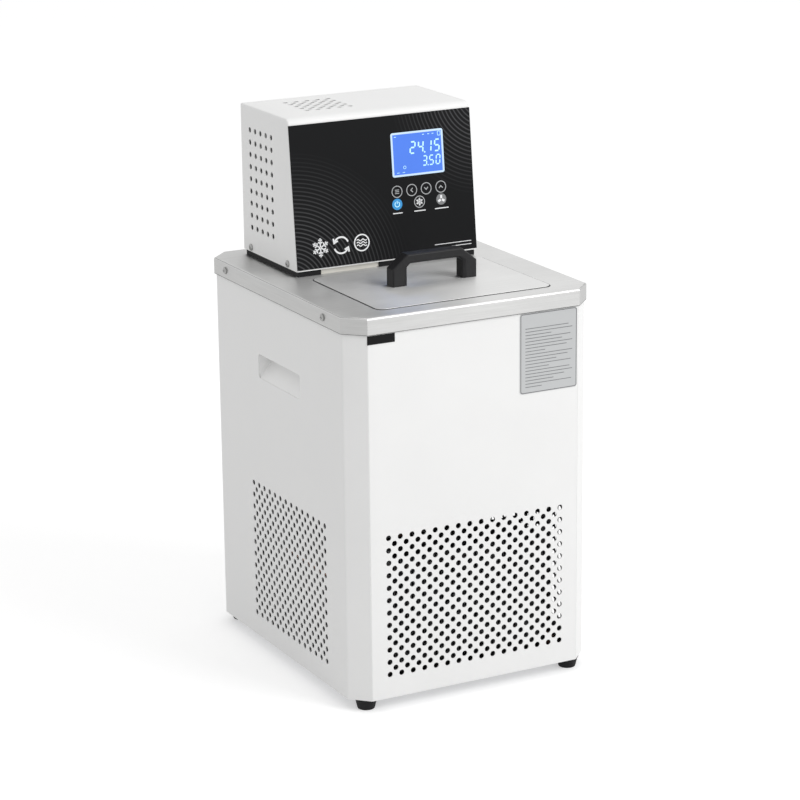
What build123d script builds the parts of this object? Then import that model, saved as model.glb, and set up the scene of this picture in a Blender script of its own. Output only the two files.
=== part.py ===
from build123d import *
import os
from math import atan2, cos, degrees, pi, sin, sqrt

# A benchtop recirculating chiller: a white sheet-metal cabinet on rubber feet, a stainless deck with a
# lift-off lid over the bath, and a control head with a sloping black panel at the back of the deck.
# The cabinet holds the refrigeration parts, the bath hangs from the deck, and the head carries the pump.
# Sizes are in millimetres. The front faces -Y, +Z is up, and z = 0 is the surface that the feet stand on.

# Deck: a folded stainless tray turned upside down, with chamfered corners
deck_w = 300.0
deck_d = 358.4
deck_top = 439.2
deck_sheet = 1.2
deck_leg = 21.2
flange_h = 18.7
fold_r = 2.5
deck_overhang = 2.0

# Cabinet: painted sheet panels; the side panels wrap the chamfered corners
panel_sheet = 1.0
seam_gap = 0.3
front_return = 9.0
pan_sheet = 1.5
pan_rim = 20.0
slip_gap = 0.3

# Rubber feet
foot_h = 13.0
foot_top_d = 24.0
foot_low_d = 18.0
foot_inset_x = 20.0
foot_inset_y = 16.0

# Small round pieces have flats: more on what shows, fewer on the pipes inside
shown_sides = 12
pipe_sides = 8
bore_sides = 24

# Ventilation fields: rows of square holes set on their points, with a second set between the rows.
# They stand for round holes of half this pitch, and leave the same share of the sheet open.
front_vent_w = 212.2
front_vent_h = 155.0
front_vent_z = 117.4
side_vent_d = 179.0
side_vent_h = 155.5
side_vent_z = 118.0
side_vent_y = -19.6
vent_pitch = 28.3
vent_corner_r = 7.5
head_vent_r = 3.75
head_vent_d = 55.0
head_vent_h = 111.3
head_vent_y = 106.0
head_vent_z = 530.0
head_vent_cols = 5
head_vent_rows = 9
top_vent_size = 52.0
top_vent_x = -43.0
top_vent_y = 103.0
top_vent_pitch = 26.0

# Side grips: moulded scoops let into the side panels
grip_w = 104.0
grip_h = 27.0
grip_y = -2.8
grip_top = 351.0
grip_depth = 17.0
grip_wall = 1.6
grip_flange = 6.0
grip_corner_r = 4.0

# Plates on the front
info_w = 71.0
info_h = 89.0
info_inset = 23.7
info_r = 3.0
badge_w = 32.3
badge_h = 9.4
badge_inset = 21.75
plate_t = 0.6
plate_drop = 1.0

# Lid, its seat and its handle
lid_margin = 44.25
lid_d = 160.5
lid_x = 3.4
lid_front_y = -154.5
lid_r = 9.0
lid_rim = 7.0
lid_sheet = 1.2
lid_gap = 1.2
seal_t = 1.5
seal_w = 6.0
seat_gap = 0.3
ledge_w = 12.0
service_edge = 6.0
handle_len = 103.5
handle_h = 35.0
handle_t = 13.0
handle_post = 14.0
handle_bar = 10.0
handle_x = 7.7
handle_y = -68.5
handle_shoulder = 15.0
handle_edge = 1.0
handle_screw_d = 4.0
handle_screw_l = 9.0

# Bath and what hangs in it
tank_side_gap = 30.0
tank_d = 240.0
tank_h = 150.0
tank_sheet = 1.0
tank_front_y = -147.0
tank_lip = 14.0
tank_r = 15.0
foam_t = 18.0
coil_tube = 8.0
coil_turns = 3
coil_pitch = 18.0
coil_inset = 16.0
coil_low = 40.0
coil_gap = 10.0
coil_lead = 14.0
coil_lead_gap = 30.0
heater_tube = 8.0
heater_low = 18.0
heater_w = 34.0
heater_off = 60.0
probe_d = 6.0

# Bridge that carries the bath
bridge_sheet = 2.0
bridge_side_gap = 24.0
bridge_d = 200.0
bridge_foot = 16.0

# Head: a folded cover on a base plate, raised on rubber pads
head_w = 225.4
head_front_y = 18.6
head_rear_y = 156.2
head_pad_h = 6.3
head_top = 612.5
head_setback = 16.4
head_bend_r = 7.0
head_sheet = 1.0
pad_len = 28.0
pad_w = 10.0
pad_inset = 2.0
strip_inset = 2.0
strip_d = 6.0
head_base_sheet = 2.0
overlay_t = 0.8
overlay_low = 1.4
overlay_h = 159.2
display_w = 65.6
display_h = 49.2
display_x = 44.0
display_v = 116.1
display_rim = 2.2
display_r = 2.5
board_side = 15.0
board_end = 25.0
board_drop = 20.0
board_t = 1.6
key_d = 13.6
key_t = 0.4
key_x = 15.2
key_pitch = 18.5
key_v = 75.5
power_key_v = 61.5
power_key_pitch = 27.8

# Circulation pump
motor_d = 62.0
motor_h = 58.0
motor_foot = 5.0
motor_bearing = 6.0
pump_x = -52.0
pump_y = 66.0
shaft_d = 8.0
column_d = 20.0
column_bore = 12.0
pump_depth = 118.0
pump_d = 52.0
pump_h = 22.0
pump_wall = 2.5
impeller_d = 38.0
impeller_h = 9.0
impeller_vanes = 5
vane_t = 2.0

# Hose connections at the back of the head
nozzle_d = 10.0
nozzle_barb_d = 12.4
nozzle_bore = 7.0
nozzle_len = 21.0
nozzle_x = 30.0
nozzle_step = 44.0
pipe_d = 8.0
hole_play = 0.3
nozzle_z = 466.0
nozzle_nut = 17.0
nozzle_nut_t = 5.0

# Refrigeration parts in the cabinet
condenser_side_gap = 50.0
condenser_h = 150.0
condenser_t = 30.0
condenser_gap = 12.0
condenser_tubes = 5
condenser_tube = 9.5
condenser_stub = 8.0
fan_d = 140.0
fan_frame = 154.0
fan_frame_t = 26.0
fan_hub_d = 44.0
fan_blade_t = 2.0
fan_blades = 5
fan_pitch = 38.0
fan_tip_gap = 3.0
fan_motor_d = 40.0
fan_motor_l = 30.0
fan_spoke = 5.0
fan_shaft_d = 6.0
shaft_play = 0.05
compressor_d = 118.0
compressor_h = 150.0
compressor_x = -45.0
compressor_y = 72.0
compressor_lift = 12.0
pot_foot_t = 4.0
mount_spread = 118.0
mount_inset = 8.0
drier_d = 20.0
drier_len = 70.0
drier_gap = 34.0
line_d = 6.4

# Power inlet, switch and drain on the back
inlet_w = 30.0
inlet_h = 22.0
inlet_x = -95.0
inlet_z = 70.0
inlet_t = 2.5
inlet_depth = 22.0
switch_w = 15.0
switch_h = 27.0
switch_z = 108.0
switch_rim = 2.5
switch_rim_t = 1.5
switch_depth = 16.0
switch_skin = 0.1
rocker_gap = 0.5
rocker_tilt = 7.0
rocker_rise = 3.4
drain_x = 95.0
drain_z = 42.0
drain_len = 18.0
drain_tail = 12.0
drain_side = 20.0

# Heads of the screws on the deck's folds and on the cover
screw_head_d = 8.0
screw_head_h = 2.2
deck_screw_y = (-117.4, 127.8)
cover_screw_y = (42.4, 137.1)
cover_screw_rise = 5.0

# Worked out from the sizes above
body_w = deck_w - 2 * deck_overhang
body_d = deck_d - 2 * deck_overhang
body_leg = deck_leg - deck_overhang * (2 - sqrt(2))
panel_top = deck_top - deck_sheet
front_y = -body_d / 2
rear_y = body_d / 2
side_x = body_w / 2
seam_x = side_x - body_leg
info_x = deck_w / 2 - info_inset - info_w / 2
badge_x = -deck_w / 2 + badge_inset + badge_w / 2
lid_w = deck_w - 2 * lid_margin
tank_w = body_w - 2 * (tank_side_gap + foam_t)
bridge_leg_x = side_x - bridge_side_gap
condenser_w = body_w - 2 * condenser_side_gap
ledge_depth = lid_rim + seal_t + seat_gap
ledge_z = deck_top - ledge_depth
lid_y = lid_front_y + lid_d / 2
well_w = lid_w + 2 * lid_gap
well_d = lid_d + 2 * lid_gap
tank_top = ledge_z - deck_sheet
tank_floor = tank_top - tank_h
tank_y = tank_front_y + tank_d / 2
foam_low = tank_floor - tank_sheet - foam_t
head_low = deck_top + head_pad_h
slope = atan2(head_setback, head_top - head_bend_r - head_low)
base_top = head_low + head_base_sheet
shaft_low = base_top - pump_depth
condenser_y = front_y + panel_sheet + condenser_gap + condenser_t / 2
condenser_z = foot_h + pan_sheet + condenser_h / 2
condenser_end = condenser_w / 2 + condenser_stub
shroud_y = condenser_y + condenser_t / 2
fan_z = foot_h + pan_sheet + fan_frame / 2


def block(x0, x1, y0, y1, z0, z1):
    """A box between two corners."""
    middle = Pos((x0 + x1) / 2, (y0 + y1) / 2, (z0 + z1) / 2)
    return middle * Box(x1 - x0, y1 - y0, z1 - z0)


def octagon(width, depth, leg):
    """A rectangle with its four corners cut off at 45 degrees."""
    x, y = width / 2, depth / 2
    points = [(x - leg, -y), (x, -y + leg), (x, y - leg), (x - leg, y)]
    points += [(-px, -py) for px, py in points]
    return make_face(Polyline(points, close=True))


def octagon_inside(width, depth, leg, wall):
    """The same outline moved inwards by a wall's thickness."""
    return octagon(width - 2 * wall, depth - 2 * wall, leg - wall * (2 - sqrt(2)))


def upright(sketch, low, high, x=0.0, y=0.0):
    """A sketch in the XY plane raised from one height to another."""
    return extrude(Pos(x, y, low) * sketch, high - low)


def disc(diameter, sides=shown_sides):
    """A round outline with flats."""
    return RegularPolygon(diameter / 2, sides)


def rod(start, end, diameter, sides=shown_sides):
    """A round bar between two points."""
    run = Edge.make_line(start, end)
    return extrude(Plane(start, z_dir=run % 0) * disc(diameter, sides), run.length)


def bent_tube(points, diameter):
    """A round tube along straight runs with mitred corners."""
    path = Polyline(points)
    section = Plane(points[0], z_dir=path % 0) * disc(diameter, pipe_sides)
    return sweep(section, path, transition=Transition.RIGHT)


def grid(width, height, columns, rows):
    """Places of a centred grid; its outer rows lie on the field's edges."""
    return [(width * (i / (columns - 1) - 0.5), height * (j / (rows - 1) - 0.5))
            for i in range(columns) for j in range(rows)]


def staggered(width, height, pitch):
    """A grid at about this pitch, with a second grid between its holes."""
    columns = round(width / pitch) + 1
    rows = round(height / pitch) + 1
    step_w, step_h = width / (columns - 1), height / (rows - 1)
    between = grid(width - step_w, height - step_h, columns - 1, rows - 1)
    return grid(width, height, columns, rows) + between


def hole_field(plane, places, corner_r, depth):
    """Square bars, set on their points, that cut a field of holes through a panel at this plane."""
    square = RegularPolygon(corner_r, 4)
    return extrude(plane * Sketch([Pos(u, v) * square for u, v in places]), depth, both=True)


def screw_head(seat, outwards):
    """The pan head of a screw on its seat, pointing outwards."""
    return extrude(Plane(seat, z_dir=outwards) * disc(screw_head_d), screw_head_h)


def deck():
    """The folded tray with the sunken seat of the lid and the hole that the pump goes down through."""
    tray = upright(octagon(deck_w, deck_d, deck_leg), deck_top - flange_h, deck_top)
    tray = fillet(tray.faces().sort_by(Axis.Z)[-1].edges(), fold_r)
    tray -= upright(octagon_inside(deck_w, deck_d, deck_leg, deck_sheet), deck_top - flange_h, panel_top)
    well = RectangleRounded(well_w, well_d, lid_r + lid_gap)
    around = 2 * deck_sheet
    well_outside = RectangleRounded(well_w + around, well_d + around, lid_r + lid_gap + deck_sheet)
    mouth = RectangleRounded(well_w - 2 * ledge_w, well_d - 2 * ledge_w, lid_r)
    tray += upright(well_outside, tank_top, panel_top, lid_x, lid_y)
    tray -= upright(well, ledge_z, deck_top, lid_x, lid_y)
    tray -= upright(mouth, tank_top, ledge_z, lid_x, lid_y)
    return tray - service_hole(tank_top, deck_top)


def service_hole(low, high):
    """The slot under the head for the pump column, the pipes, the coil's ends and the heater's ends."""
    x, y0 = tank_w / 2 - service_edge, head_front_y + pad_w + service_edge
    return block(-x, x, y0, tank_y + tank_d / 2 - service_edge, low, high)


def cabinet_shell():
    """The closed ring of the four panels, before it is parted at its seams."""
    outside = upright(octagon(body_w, body_d, body_leg), foot_h, panel_top)
    return outside - upright(octagon_inside(body_w, body_d, body_leg, panel_sheet), foot_h, panel_top)


def side_panel(side):
    """A side wall that wraps both chamfered corners, with its vents and the hole for the grip."""
    keep = block(seam_x + seam_gap, side_x, front_y, rear_y, foot_h, panel_top)
    vents = hole_field(Plane((side_x, side_vent_y, side_vent_z), x_dir=(0, 1, 0), z_dir=(1, 0, 0)),
                       staggered(side_vent_d, side_vent_h, vent_pitch), vent_corner_r, 3 * panel_sheet)
    hole = RectangleRounded(grip_w + 2 * slip_gap, grip_h + 2 * slip_gap, grip_corner_r)
    hole = Plane((side_x, grip_y, grip_top - grip_h / 2), x_dir=(0, 1, 0), z_dir=(1, 0, 0)) * hole
    panel = (cabinet_shell() & keep) - vents - extrude(hole, 3 * panel_sheet, both=True)
    return panel if side > 0 else mirror(panel, Plane.YZ)


def front_panel():
    """The flat front with its vents; a narrow return stiffens each long edge behind the seam."""
    panel = block(-seam_x, seam_x, front_y, front_y + panel_sheet, foot_h, panel_top)
    above_rim = foot_h + pan_rim + seam_gap
    for edge in (-seam_x, seam_x - panel_sheet):
        panel += block(edge, edge + panel_sheet, front_y, front_y + front_return, above_rim, panel_top)
    vents = hole_field(Plane((0, front_y, front_vent_z), x_dir=(1, 0, 0), z_dir=(0, -1, 0)),
                       staggered(front_vent_w, front_vent_h, vent_pitch), vent_corner_r, 3 * panel_sheet)
    return panel - vents


def rear_panel():
    """The plain back with the cut-outs of the inlet, the switch and the drain."""
    panel = block(-seam_x, seam_x, rear_y - panel_sheet, rear_y, foot_h, panel_top)
    cut = 3 * panel_sheet
    panel -= block(inlet_x - inlet_w / 2, inlet_x + inlet_w / 2, rear_y - cut, rear_y + cut,
                   inlet_z - inlet_h / 2, inlet_z + inlet_h / 2)
    panel -= block(inlet_x - switch_w / 2 - rocker_gap, inlet_x + switch_w / 2 + rocker_gap, rear_y - cut,
                   rear_y + cut, switch_z - switch_h / 2 - rocker_gap, switch_z + switch_h / 2 + rocker_gap)
    return panel - rod((drain_x, rear_y - cut, drain_z), (drain_x, rear_y + cut, drain_z), nozzle_barb_d)


def base_pan():
    """The floor tray inside the panels, with its upturned rim."""
    inside = panel_sheet + seam_gap
    outline = octagon_inside(body_w, body_d, body_leg, inside)
    hollow = octagon_inside(body_w, body_d, body_leg, inside + pan_sheet)
    return upright(outline, foot_h, foot_h + pan_rim) - upright(hollow, foot_h + pan_sheet, foot_h + pan_rim)


def rubber_feet():
    """Four tapered rubber feet under the corners of the floor tray."""
    foot = tapered(foot_low_d, foot_top_d, foot_h)
    x, y = side_x - foot_inset_x, rear_y - foot_inset_y
    return Compound([Pos(px, py, 0) * foot for px in (-x, x) for py in (-y, y)])


def grip_cup(side):
    """A moulded scoop: deep under its upper edge and running out towards its lower edge."""
    wall_x = side_x - panel_sheet
    upper, lower = grip_top, grip_top - grip_h
    profile = [(wall_x, upper), (wall_x - grip_depth, upper), (wall_x - grip_depth, upper - grip_h / 3),
               (wall_x, lower)]
    skin = grip_wall
    outer = [(wall_x, upper + skin), (wall_x - grip_depth - skin, upper + skin),
             (wall_x - grip_depth - skin, upper - grip_h / 3 - skin), (wall_x, lower - 2 * skin)]
    start, length = grip_y - grip_w / 2, grip_w
    cup = extrude(Pos(0, start - skin, 0) * (Plane.XZ * make_face(Polyline(outer, close=True))),
                  length + 2 * skin, dir=(0, 1, 0))
    cup += block(wall_x - skin, wall_x, start - grip_flange, start + length + grip_flange,
                 lower - grip_flange, upper + grip_flange)
    cup -= extrude(Pos(0, start, 0) * (Plane.XZ * make_face(Polyline(profile, close=True))),
                   length, dir=(0, 1, 0))
    return cup if side > 0 else mirror(cup, Plane.YZ)


def info_plate():
    """A thin bare plate at the top right of the front."""
    top = deck_top - flange_h - plate_drop
    plane = Plane((info_x, front_y, top - info_h / 2), x_dir=(1, 0, 0), z_dir=(0, -1, 0))
    return extrude(plane * RectangleRounded(info_w, info_h, info_r), plate_t)


def badge_plate():
    """A small bare plate under the left end of the deck's front fold."""
    top = deck_top - flange_h - plate_drop
    return block(badge_x - badge_w / 2, badge_x + badge_w / 2, front_y - plate_t, front_y, top - badge_h, top)


def flange_screws():
    """Pan-head screws that hold the deck's side folds to the cabinet."""
    height = deck_top - flange_h / 2
    return Compound([screw_head((side * deck_w / 2, y, height), (side, 0, 0))
                     for side in (-1, 1) for y in deck_screw_y])


def tank():
    """The welded bath, open at the top, with a lip that lies under the deck."""
    inside = RectangleRounded(tank_w, tank_d, tank_r)
    outside = RectangleRounded(tank_w + 2 * tank_sheet, tank_d + 2 * tank_sheet, tank_r + tank_sheet)
    bath = upright(outside, tank_floor - tank_sheet, tank_top, 0, tank_y)
    lip = Rectangle(tank_w + 2 * tank_lip, tank_d + 2 * tank_lip)
    bath += upright(lip, tank_top - tank_sheet, tank_top, 0, tank_y)
    return bath - upright(inside, tank_floor, tank_top, 0, tank_y)


def tank_foam():
    """The foam jacket round the bath."""
    wrap = 2 * (tank_sheet + slip_gap)
    cavity = RectangleRounded(tank_w + wrap, tank_d + wrap, tank_r + wrap / 2)
    x, y0, y1 = tank_w / 2 + foam_t, tank_front_y - foam_t, tank_front_y + tank_d + foam_t
    jacket = block(-x, x, y0, y1, foam_low, tank_top - tank_sheet - slip_gap)
    return jacket - upright(cavity, tank_floor - tank_sheet - slip_gap, tank_top, 0, tank_y) - drain_passage()


def tank_bridge():
    """A folded bridge on the floor tray that the jacketed bath rests on."""
    floor = foot_h + pan_sheet
    x, t = bridge_leg_x, bridge_sheet
    outline = [(-x - bridge_foot, floor), (-x, floor), (-x, foam_low - t), (x, foam_low - t), (x, floor),
               (x + bridge_foot, floor), (x + bridge_foot, floor + t), (x + t, floor + t), (x + t, foam_low),
               (-x - t, foam_low), (-x - t, floor + t), (-x - bridge_foot, floor + t)]
    start = tank_y - bridge_d / 2
    bridge = extrude(Pos(0, start, 0) * (Plane.XZ * make_face(Polyline(outline, close=True))),
                     bridge_d, dir=(0, 1, 0))
    window = 0.8 * bridge_d
    bridge -= drain_passage()
    return bridge - block(-x - 2 * t, x + 2 * t, tank_y - window / 2, tank_y + window / 2,
                          floor + bridge_foot, foam_low - bridge_foot)


def coil():
    """The cooling coil: square turns in the front of the bath; its two ends rise behind the lid."""
    x = tank_w / 2 - coil_inset
    y0 = tank_front_y + coil_inset
    y1 = pump_y - pump_d / 2 - coil_tube / 2 - coil_gap
    lead_y = y1 + coil_lead
    z = tank_floor + coil_low
    rise = coil_pitch / 4
    points = [(x - coil_lead_gap, lead_y, head_low), (x - coil_lead_gap, lead_y, z), (x, lead_y, z)]
    for _ in range(coil_turns):
        for px, py in ((x, y0), (-x, y0), (-x, y1), (x, y1)):
            z += rise
            points.append((px, py, z))
    points += [(x, lead_y, z + rise), (x, lead_y, head_low)]
    return bent_tube(points, coil_tube)


def heater():
    """The heating loop low in the bath, with both legs rising to the head's base."""
    x0, y1 = pump_x + heater_off, pump_y + heater_tube
    x1, y0 = x0 + heater_w, tank_front_y + 2.6 * coil_inset
    z = tank_floor + heater_low
    points = [(x0, y1, head_low), (x0, y1, z), (x0, y0, z), (x1, y0, z), (x1, y1, z), (x1, y1, head_low)]
    return bent_tube(points, heater_tube)


def probe():
    """The temperature probe beside the pump column."""
    x, y = pump_x + pump_d / 2 + probe_d / 2, pump_y - pump_d / 2
    return rod((x, y, shaft_low + pump_h), (x, y, head_low), probe_d)


def pump_post(diameter, low, high):
    """A round length on the pump's axis."""
    return upright(disc(diameter), low, high, pump_x, pump_y)


def pump_column():
    """The fixed tube round the shaft and the pump housing at its foot, with its intake below."""
    housing_low = shaft_low - pump_wall - 1
    housing_top = housing_low + pump_h
    body = pump_post(pump_d, housing_low, housing_top)
    body += pump_post(column_d, housing_top - pump_wall, head_low)
    body -= pump_post(pump_d - 2 * pump_wall, housing_low + pump_wall, housing_top - pump_wall)
    body -= pump_post(column_bore, housing_top - pump_wall, head_low)
    return body - pump_post(column_d, housing_low, housing_low + pump_wall)


def pump_shaft():
    """The shaft from the motor's lower bearing down to the impeller."""
    return pump_post(shaft_d, shaft_low, base_top + motor_bearing - seat_gap)


def impeller():
    """A disc with curved-back vanes on the end of the shaft."""
    low = shaft_low
    wheel = pump_post(impeller_d, low, low + 2) + pump_post(shaft_d + 6, low, low + impeller_h)
    blade = block(2, impeller_d / 2 - 0.5, -vane_t / 2, vane_t / 2, low, low + impeller_h)
    for i in range(impeller_vanes):
        wheel += Pos(pump_x, pump_y, 0) * Rot(0, 0, i * 360 / impeller_vanes) * Pos(0, 3, 0) * blade
    return wheel - pump_post(shaft_d, low, low + impeller_h)


def pump_motor():
    """The circulation motor, standing on the head's base plate."""
    can = pump_post(motor_d, base_top, base_top + motor_h)
    can = chamfer(can.faces().sort_by(Axis.Z)[-1].edges(), motor_foot)
    side = motor_d + 2 * motor_foot
    can += upright(Rectangle(side, side), base_top, base_top + motor_foot, pump_x, pump_y)
    return can - pump_post(shaft_d + 2 * shaft_play, base_top, base_top + motor_bearing)


def riser_x():
    """Where the delivery pipe rises, clear of the motor's foot."""
    return pump_x + motor_d / 2 + motor_foot + pipe_d


def delivery_pipe():
    """The pipe from the pump housing up through the base plate to the rear hose nozzle."""
    x, z = riser_x(), shaft_low + pipe_d
    end_y = head_rear_y - head_sheet
    points = [(pump_x + pump_d / 2, pump_y, z), (x, pump_y, z), (x, pump_y, nozzle_z),
              (nozzle_x, pump_y + nozzle_step, nozzle_z), (nozzle_x, end_y, nozzle_z)]
    return bent_tube(points, pipe_d)


def return_pipe():
    """The pipe from the second nozzle down into the bath."""
    x, y = nozzle_x + nozzle_step, return_y()
    points = [(x, head_rear_y - head_sheet, nozzle_z), (x, y, nozzle_z), (x, y, tank_top - 2 * nozzle_step)]
    return bent_tube(points, pipe_d)


def return_y():
    """Where the return pipe goes down, inside the back wall of the bath."""
    return tank_y + tank_d / 2 - 2 * pipe_d


def hose_nozzle(x):
    """A smooth hose tail with a hexagon seat, on the back of the head."""
    plane = Plane((x, head_rear_y, nozzle_z), z_dir=(0, 1, 0))
    tail = extrude(plane * RegularPolygon(nozzle_nut / 2, 6), nozzle_nut_t)
    tail += extrude(plane * Circle(nozzle_d / 2), nozzle_len)
    return tail - extrude(plane * disc(nozzle_bore), nozzle_len)


def head_profile(inset):
    """Side outline of the head, with its sloping front and its bend, moved inwards by a wall."""
    lean = inset / cos(slope)
    low, top = head_low, head_top - inset
    y0 = head_front_y + lean
    y1 = head_front_y + lean + head_setback * (top - low) / (head_top - head_bend_r - head_low)
    outline = make_face(Polyline([(y0, low), (y1, top), (head_rear_y, top), (head_rear_y, low)], close=True))
    bend = outline.vertices().sort_by_distance(Vector(y1, top))[0]
    return fillet(bend, head_bend_r - inset)


def head_prism(inset, width):
    """The head's side outline carried across its width."""
    plane = Plane((-width / 2, 0, 0), x_dir=(0, 1, 0), z_dir=(1, 0, 0))
    return extrude(plane * head_profile(inset), width)


def head_cover():
    """The folded cover: front, top and both sides in one sheet, open below and behind, with vents."""
    cover = head_prism(0, head_w) - head_prism(head_sheet, head_w - 2 * head_sheet)
    side = Plane((0, head_vent_y, head_vent_z), x_dir=(0, 1, 0), z_dir=(1, 0, 0))
    places = grid(head_vent_d, head_vent_h, head_vent_cols, head_vent_rows)
    cover -= hole_field(side, places, head_vent_r, head_w)
    top = Plane((top_vent_x, top_vent_y, head_top), x_dir=(1, 0, 0), z_dir=(0, 0, 1))
    return cover - hole_field(top, staggered(top_vent_size, top_vent_size, top_vent_pitch), head_vent_r, 3)


def head_base():
    """The plate that closes the head from below, bored for the pump column and both pipes."""
    gap = head_sheet + seam_gap
    x, y0 = head_w / 2 - gap, head_front_y + gap + head_sheet
    plate = block(-x, x, y0, head_rear_y - gap, head_low, base_top)
    hole = disc(pipe_d + 2 * hole_play)
    plate -= upright(hole, head_low, base_top, riser_x(), pump_y)
    plate -= upright(hole, head_low, base_top, nozzle_x + nozzle_step, return_y())
    return plate - pump_post(column_bore, head_low, base_top)


def head_back():
    """The flat back of the head, with the holes of the two hose nozzles."""
    gap = head_sheet + slip_gap
    x, y0, y1 = head_w / 2 - gap, head_rear_y - head_sheet, head_rear_y
    plate = block(-x, x, y0, y1, base_top, head_top - gap)
    for x in (nozzle_x, nozzle_x + nozzle_step):
        plate -= rod((x, y0, nozzle_z), (x, y1, nozzle_z), nozzle_bore)
    return plate


def head_pads():
    """Black rubber pads at the corners and the middle, between the deck and the head."""
    x, y0, y1 = head_w / 2 - pad_inset, head_front_y + pad_inset, head_rear_y - pad_inset
    pads = [block(-x, -x + pad_len, y0, y0 + pad_w, deck_top, head_low),
            block(x - pad_len, x, y0, y0 + pad_w, deck_top, head_low),
            block(-pad_w, pad_len - pad_w, y0, y0 + pad_w, deck_top, head_low)]
    for left in (-x, x - pad_w):
        pads.append(block(left, left + pad_w, y0 + pad_w + seam_gap, y1, deck_top, head_low))
    return Compound(pads)


def spacer_strip():
    """The pale spacer that shows between the front pads."""
    x0 = -head_w / 2 + pad_inset + pad_len + seam_gap
    y = head_front_y + pad_inset + strip_inset
    return block(x0, -pad_w - seam_gap, y, y + strip_d, deck_top, head_low - head_sheet)


def front_plane(x, v, lift=0.0):
    """A plane on the sloping front: x across, v up along the slope from the head's lower edge."""
    normal = (0, -cos(slope), sin(slope))
    up = (0, sin(slope), cos(slope))
    origin = (x, head_front_y + v * up[1] + lift * normal[1], head_low + v * up[2] + lift * normal[2])
    return Plane(origin, x_dir=(1, 0, 0), z_dir=normal)


def panel_overlay():
    """The black front sheet, cut out for the display."""
    sheet = extrude(front_plane(0, overlay_low + overlay_h / 2) * Rectangle(head_w, overlay_h), overlay_t)
    window = RectangleRounded(display_w, display_h, display_r)
    return sheet - extrude(front_plane(display_x, display_v) * window, overlay_t)


def display_frame():
    """The raised rim round the display."""
    outside = RectangleRounded(display_w, display_h, display_r)
    inside = Rectangle(display_w - 2 * display_rim, display_h - 2 * display_rim)
    return extrude(front_plane(display_x, display_v) * (outside - inside), overlay_t + 0.4)


def display_glass():
    """The display's window, flush with the overlay."""
    rim = 2 * display_rim
    window = Rectangle(display_w - rim, display_h - rim)
    return extrude(front_plane(display_x, display_v) * window, overlay_t)


def touch_keys():
    """Seven round touch fields that stand hardly proud of the overlay."""
    upper = [(key_x + i * key_pitch, key_v) for i in range(4)]
    lower = [(key_x + i * power_key_pitch, power_key_v) for i in range(3)]
    small = key_d * 0.8
    return Compound([extrude(front_plane(x, v, overlay_t) * disc(key_d if v == key_v else small), key_t)
                     for x, v in upper + lower])


def control_board():
    """The printed board behind the display, on the back of the front wall."""
    plane = front_plane(display_x, display_v - board_drop, -head_sheet - board_t)
    return extrude(plane * Rectangle(display_w + 2 * board_side, display_h + 2 * board_end), board_t)


def cover_screws():
    """Pan-head screws low on both sides of the cover."""
    return Compound([screw_head((side * head_w / 2, y, head_low + cover_screw_rise), (side, 0, 0))
                     for side in (-1, 1) for y in cover_screw_y])


def lid():
    """The flush stainless lid: a shallow pan turned upside down."""
    pan = upright(RectangleRounded(lid_w, lid_d, lid_r), deck_top - lid_rim, deck_top, lid_x, lid_y)
    inner = RectangleRounded(lid_w - 2 * lid_sheet, lid_d - 2 * lid_sheet, lid_r - lid_sheet)
    pan -= upright(inner, deck_top - lid_rim, deck_top - lid_sheet, lid_x, lid_y)
    for x in (handle_x - handle_pitch() / 2, handle_x + handle_pitch() / 2):
        pan -= upright(disc(handle_screw_d), deck_top - lid_sheet, deck_top, x, handle_y)
    return pan


def lid_seal():
    """The soft ring under the lid's rim that meets the ledge."""
    top = deck_top - lid_rim
    outside = RectangleRounded(lid_w - 1, lid_d - 1, lid_r)
    inside = RectangleRounded(lid_w - 1 - 2 * seal_w, lid_d - 1 - 2 * seal_w, lid_r)
    return upright(outside - inside, top - seal_t, top, lid_x, lid_y)


def handle_pitch():
    """Distance between the middles of the handle's two posts."""
    return handle_len - handle_post


def lid_handle():
    """The bridge handle: two posts, cut shoulders and a bar, moulded in one piece."""
    x, top, low = handle_len / 2, deck_top + handle_h, deck_top
    cut, inner = handle_shoulder, handle_len / 2 - handle_post
    under = top - handle_bar
    outline = [(-x, low), (-x, top - cut), (-x + cut, top), (x - cut, top), (x, top - cut), (x, low),
               (inner, low), (inner, under - 4), (inner - 4, under), (-inner + 4, under), (-inner, under - 4),
               (-inner, low)]
    face = Plane.XZ * make_face(Polyline(outline, close=True))
    body = extrude(Pos(handle_x, handle_y - handle_t / 2, 0) * face, handle_t, dir=(0, 1, 0))
    ends = [body.faces().sort_by(Axis.Y)[0], body.faces().sort_by(Axis.Y)[-1]]
    body = chamfer([edge for end in ends for edge in end.edges() if edge.center().Z > low + 1], handle_edge)
    for post_x in (handle_x - handle_pitch() / 2, handle_x + handle_pitch() / 2):
        body -= upright(disc(handle_screw_d), low, low + handle_screw_l, post_x, handle_y)
    return body


def handle_screws():
    """The two screws that hold the handle from under the lid."""
    screws = []
    for x in (handle_x - handle_pitch() / 2, handle_x + handle_pitch() / 2):
        seat = deck_top - lid_sheet
        head = upright(disc(screw_head_d), seat - screw_head_h, seat, x, handle_y)
        screws.append(head + upright(disc(handle_screw_d), seat, deck_top + handle_screw_l, x, handle_y))
    return Compound(screws)


def tube_height(index):
    """Height of one of the condenser's tubes, counted from the lowest."""
    return condenser_z - condenser_h / 2 + (index + 0.5) * condenser_h / condenser_tubes


def condenser():
    """The finned heat exchanger behind the front vents, with tube ends out of both sides."""
    x, y0, y1 = condenser_w / 2, condenser_y - condenser_t / 2, condenser_y + condenser_t / 2
    core = block(-x, x, y0, y1, condenser_z - condenser_h / 2, condenser_z + condenser_h / 2)
    for i in range(condenser_tubes):
        z = tube_height(i)
        core += rod((-condenser_end, condenser_y, z), (condenser_end, condenser_y, z), condenser_tube)
    return core


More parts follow.
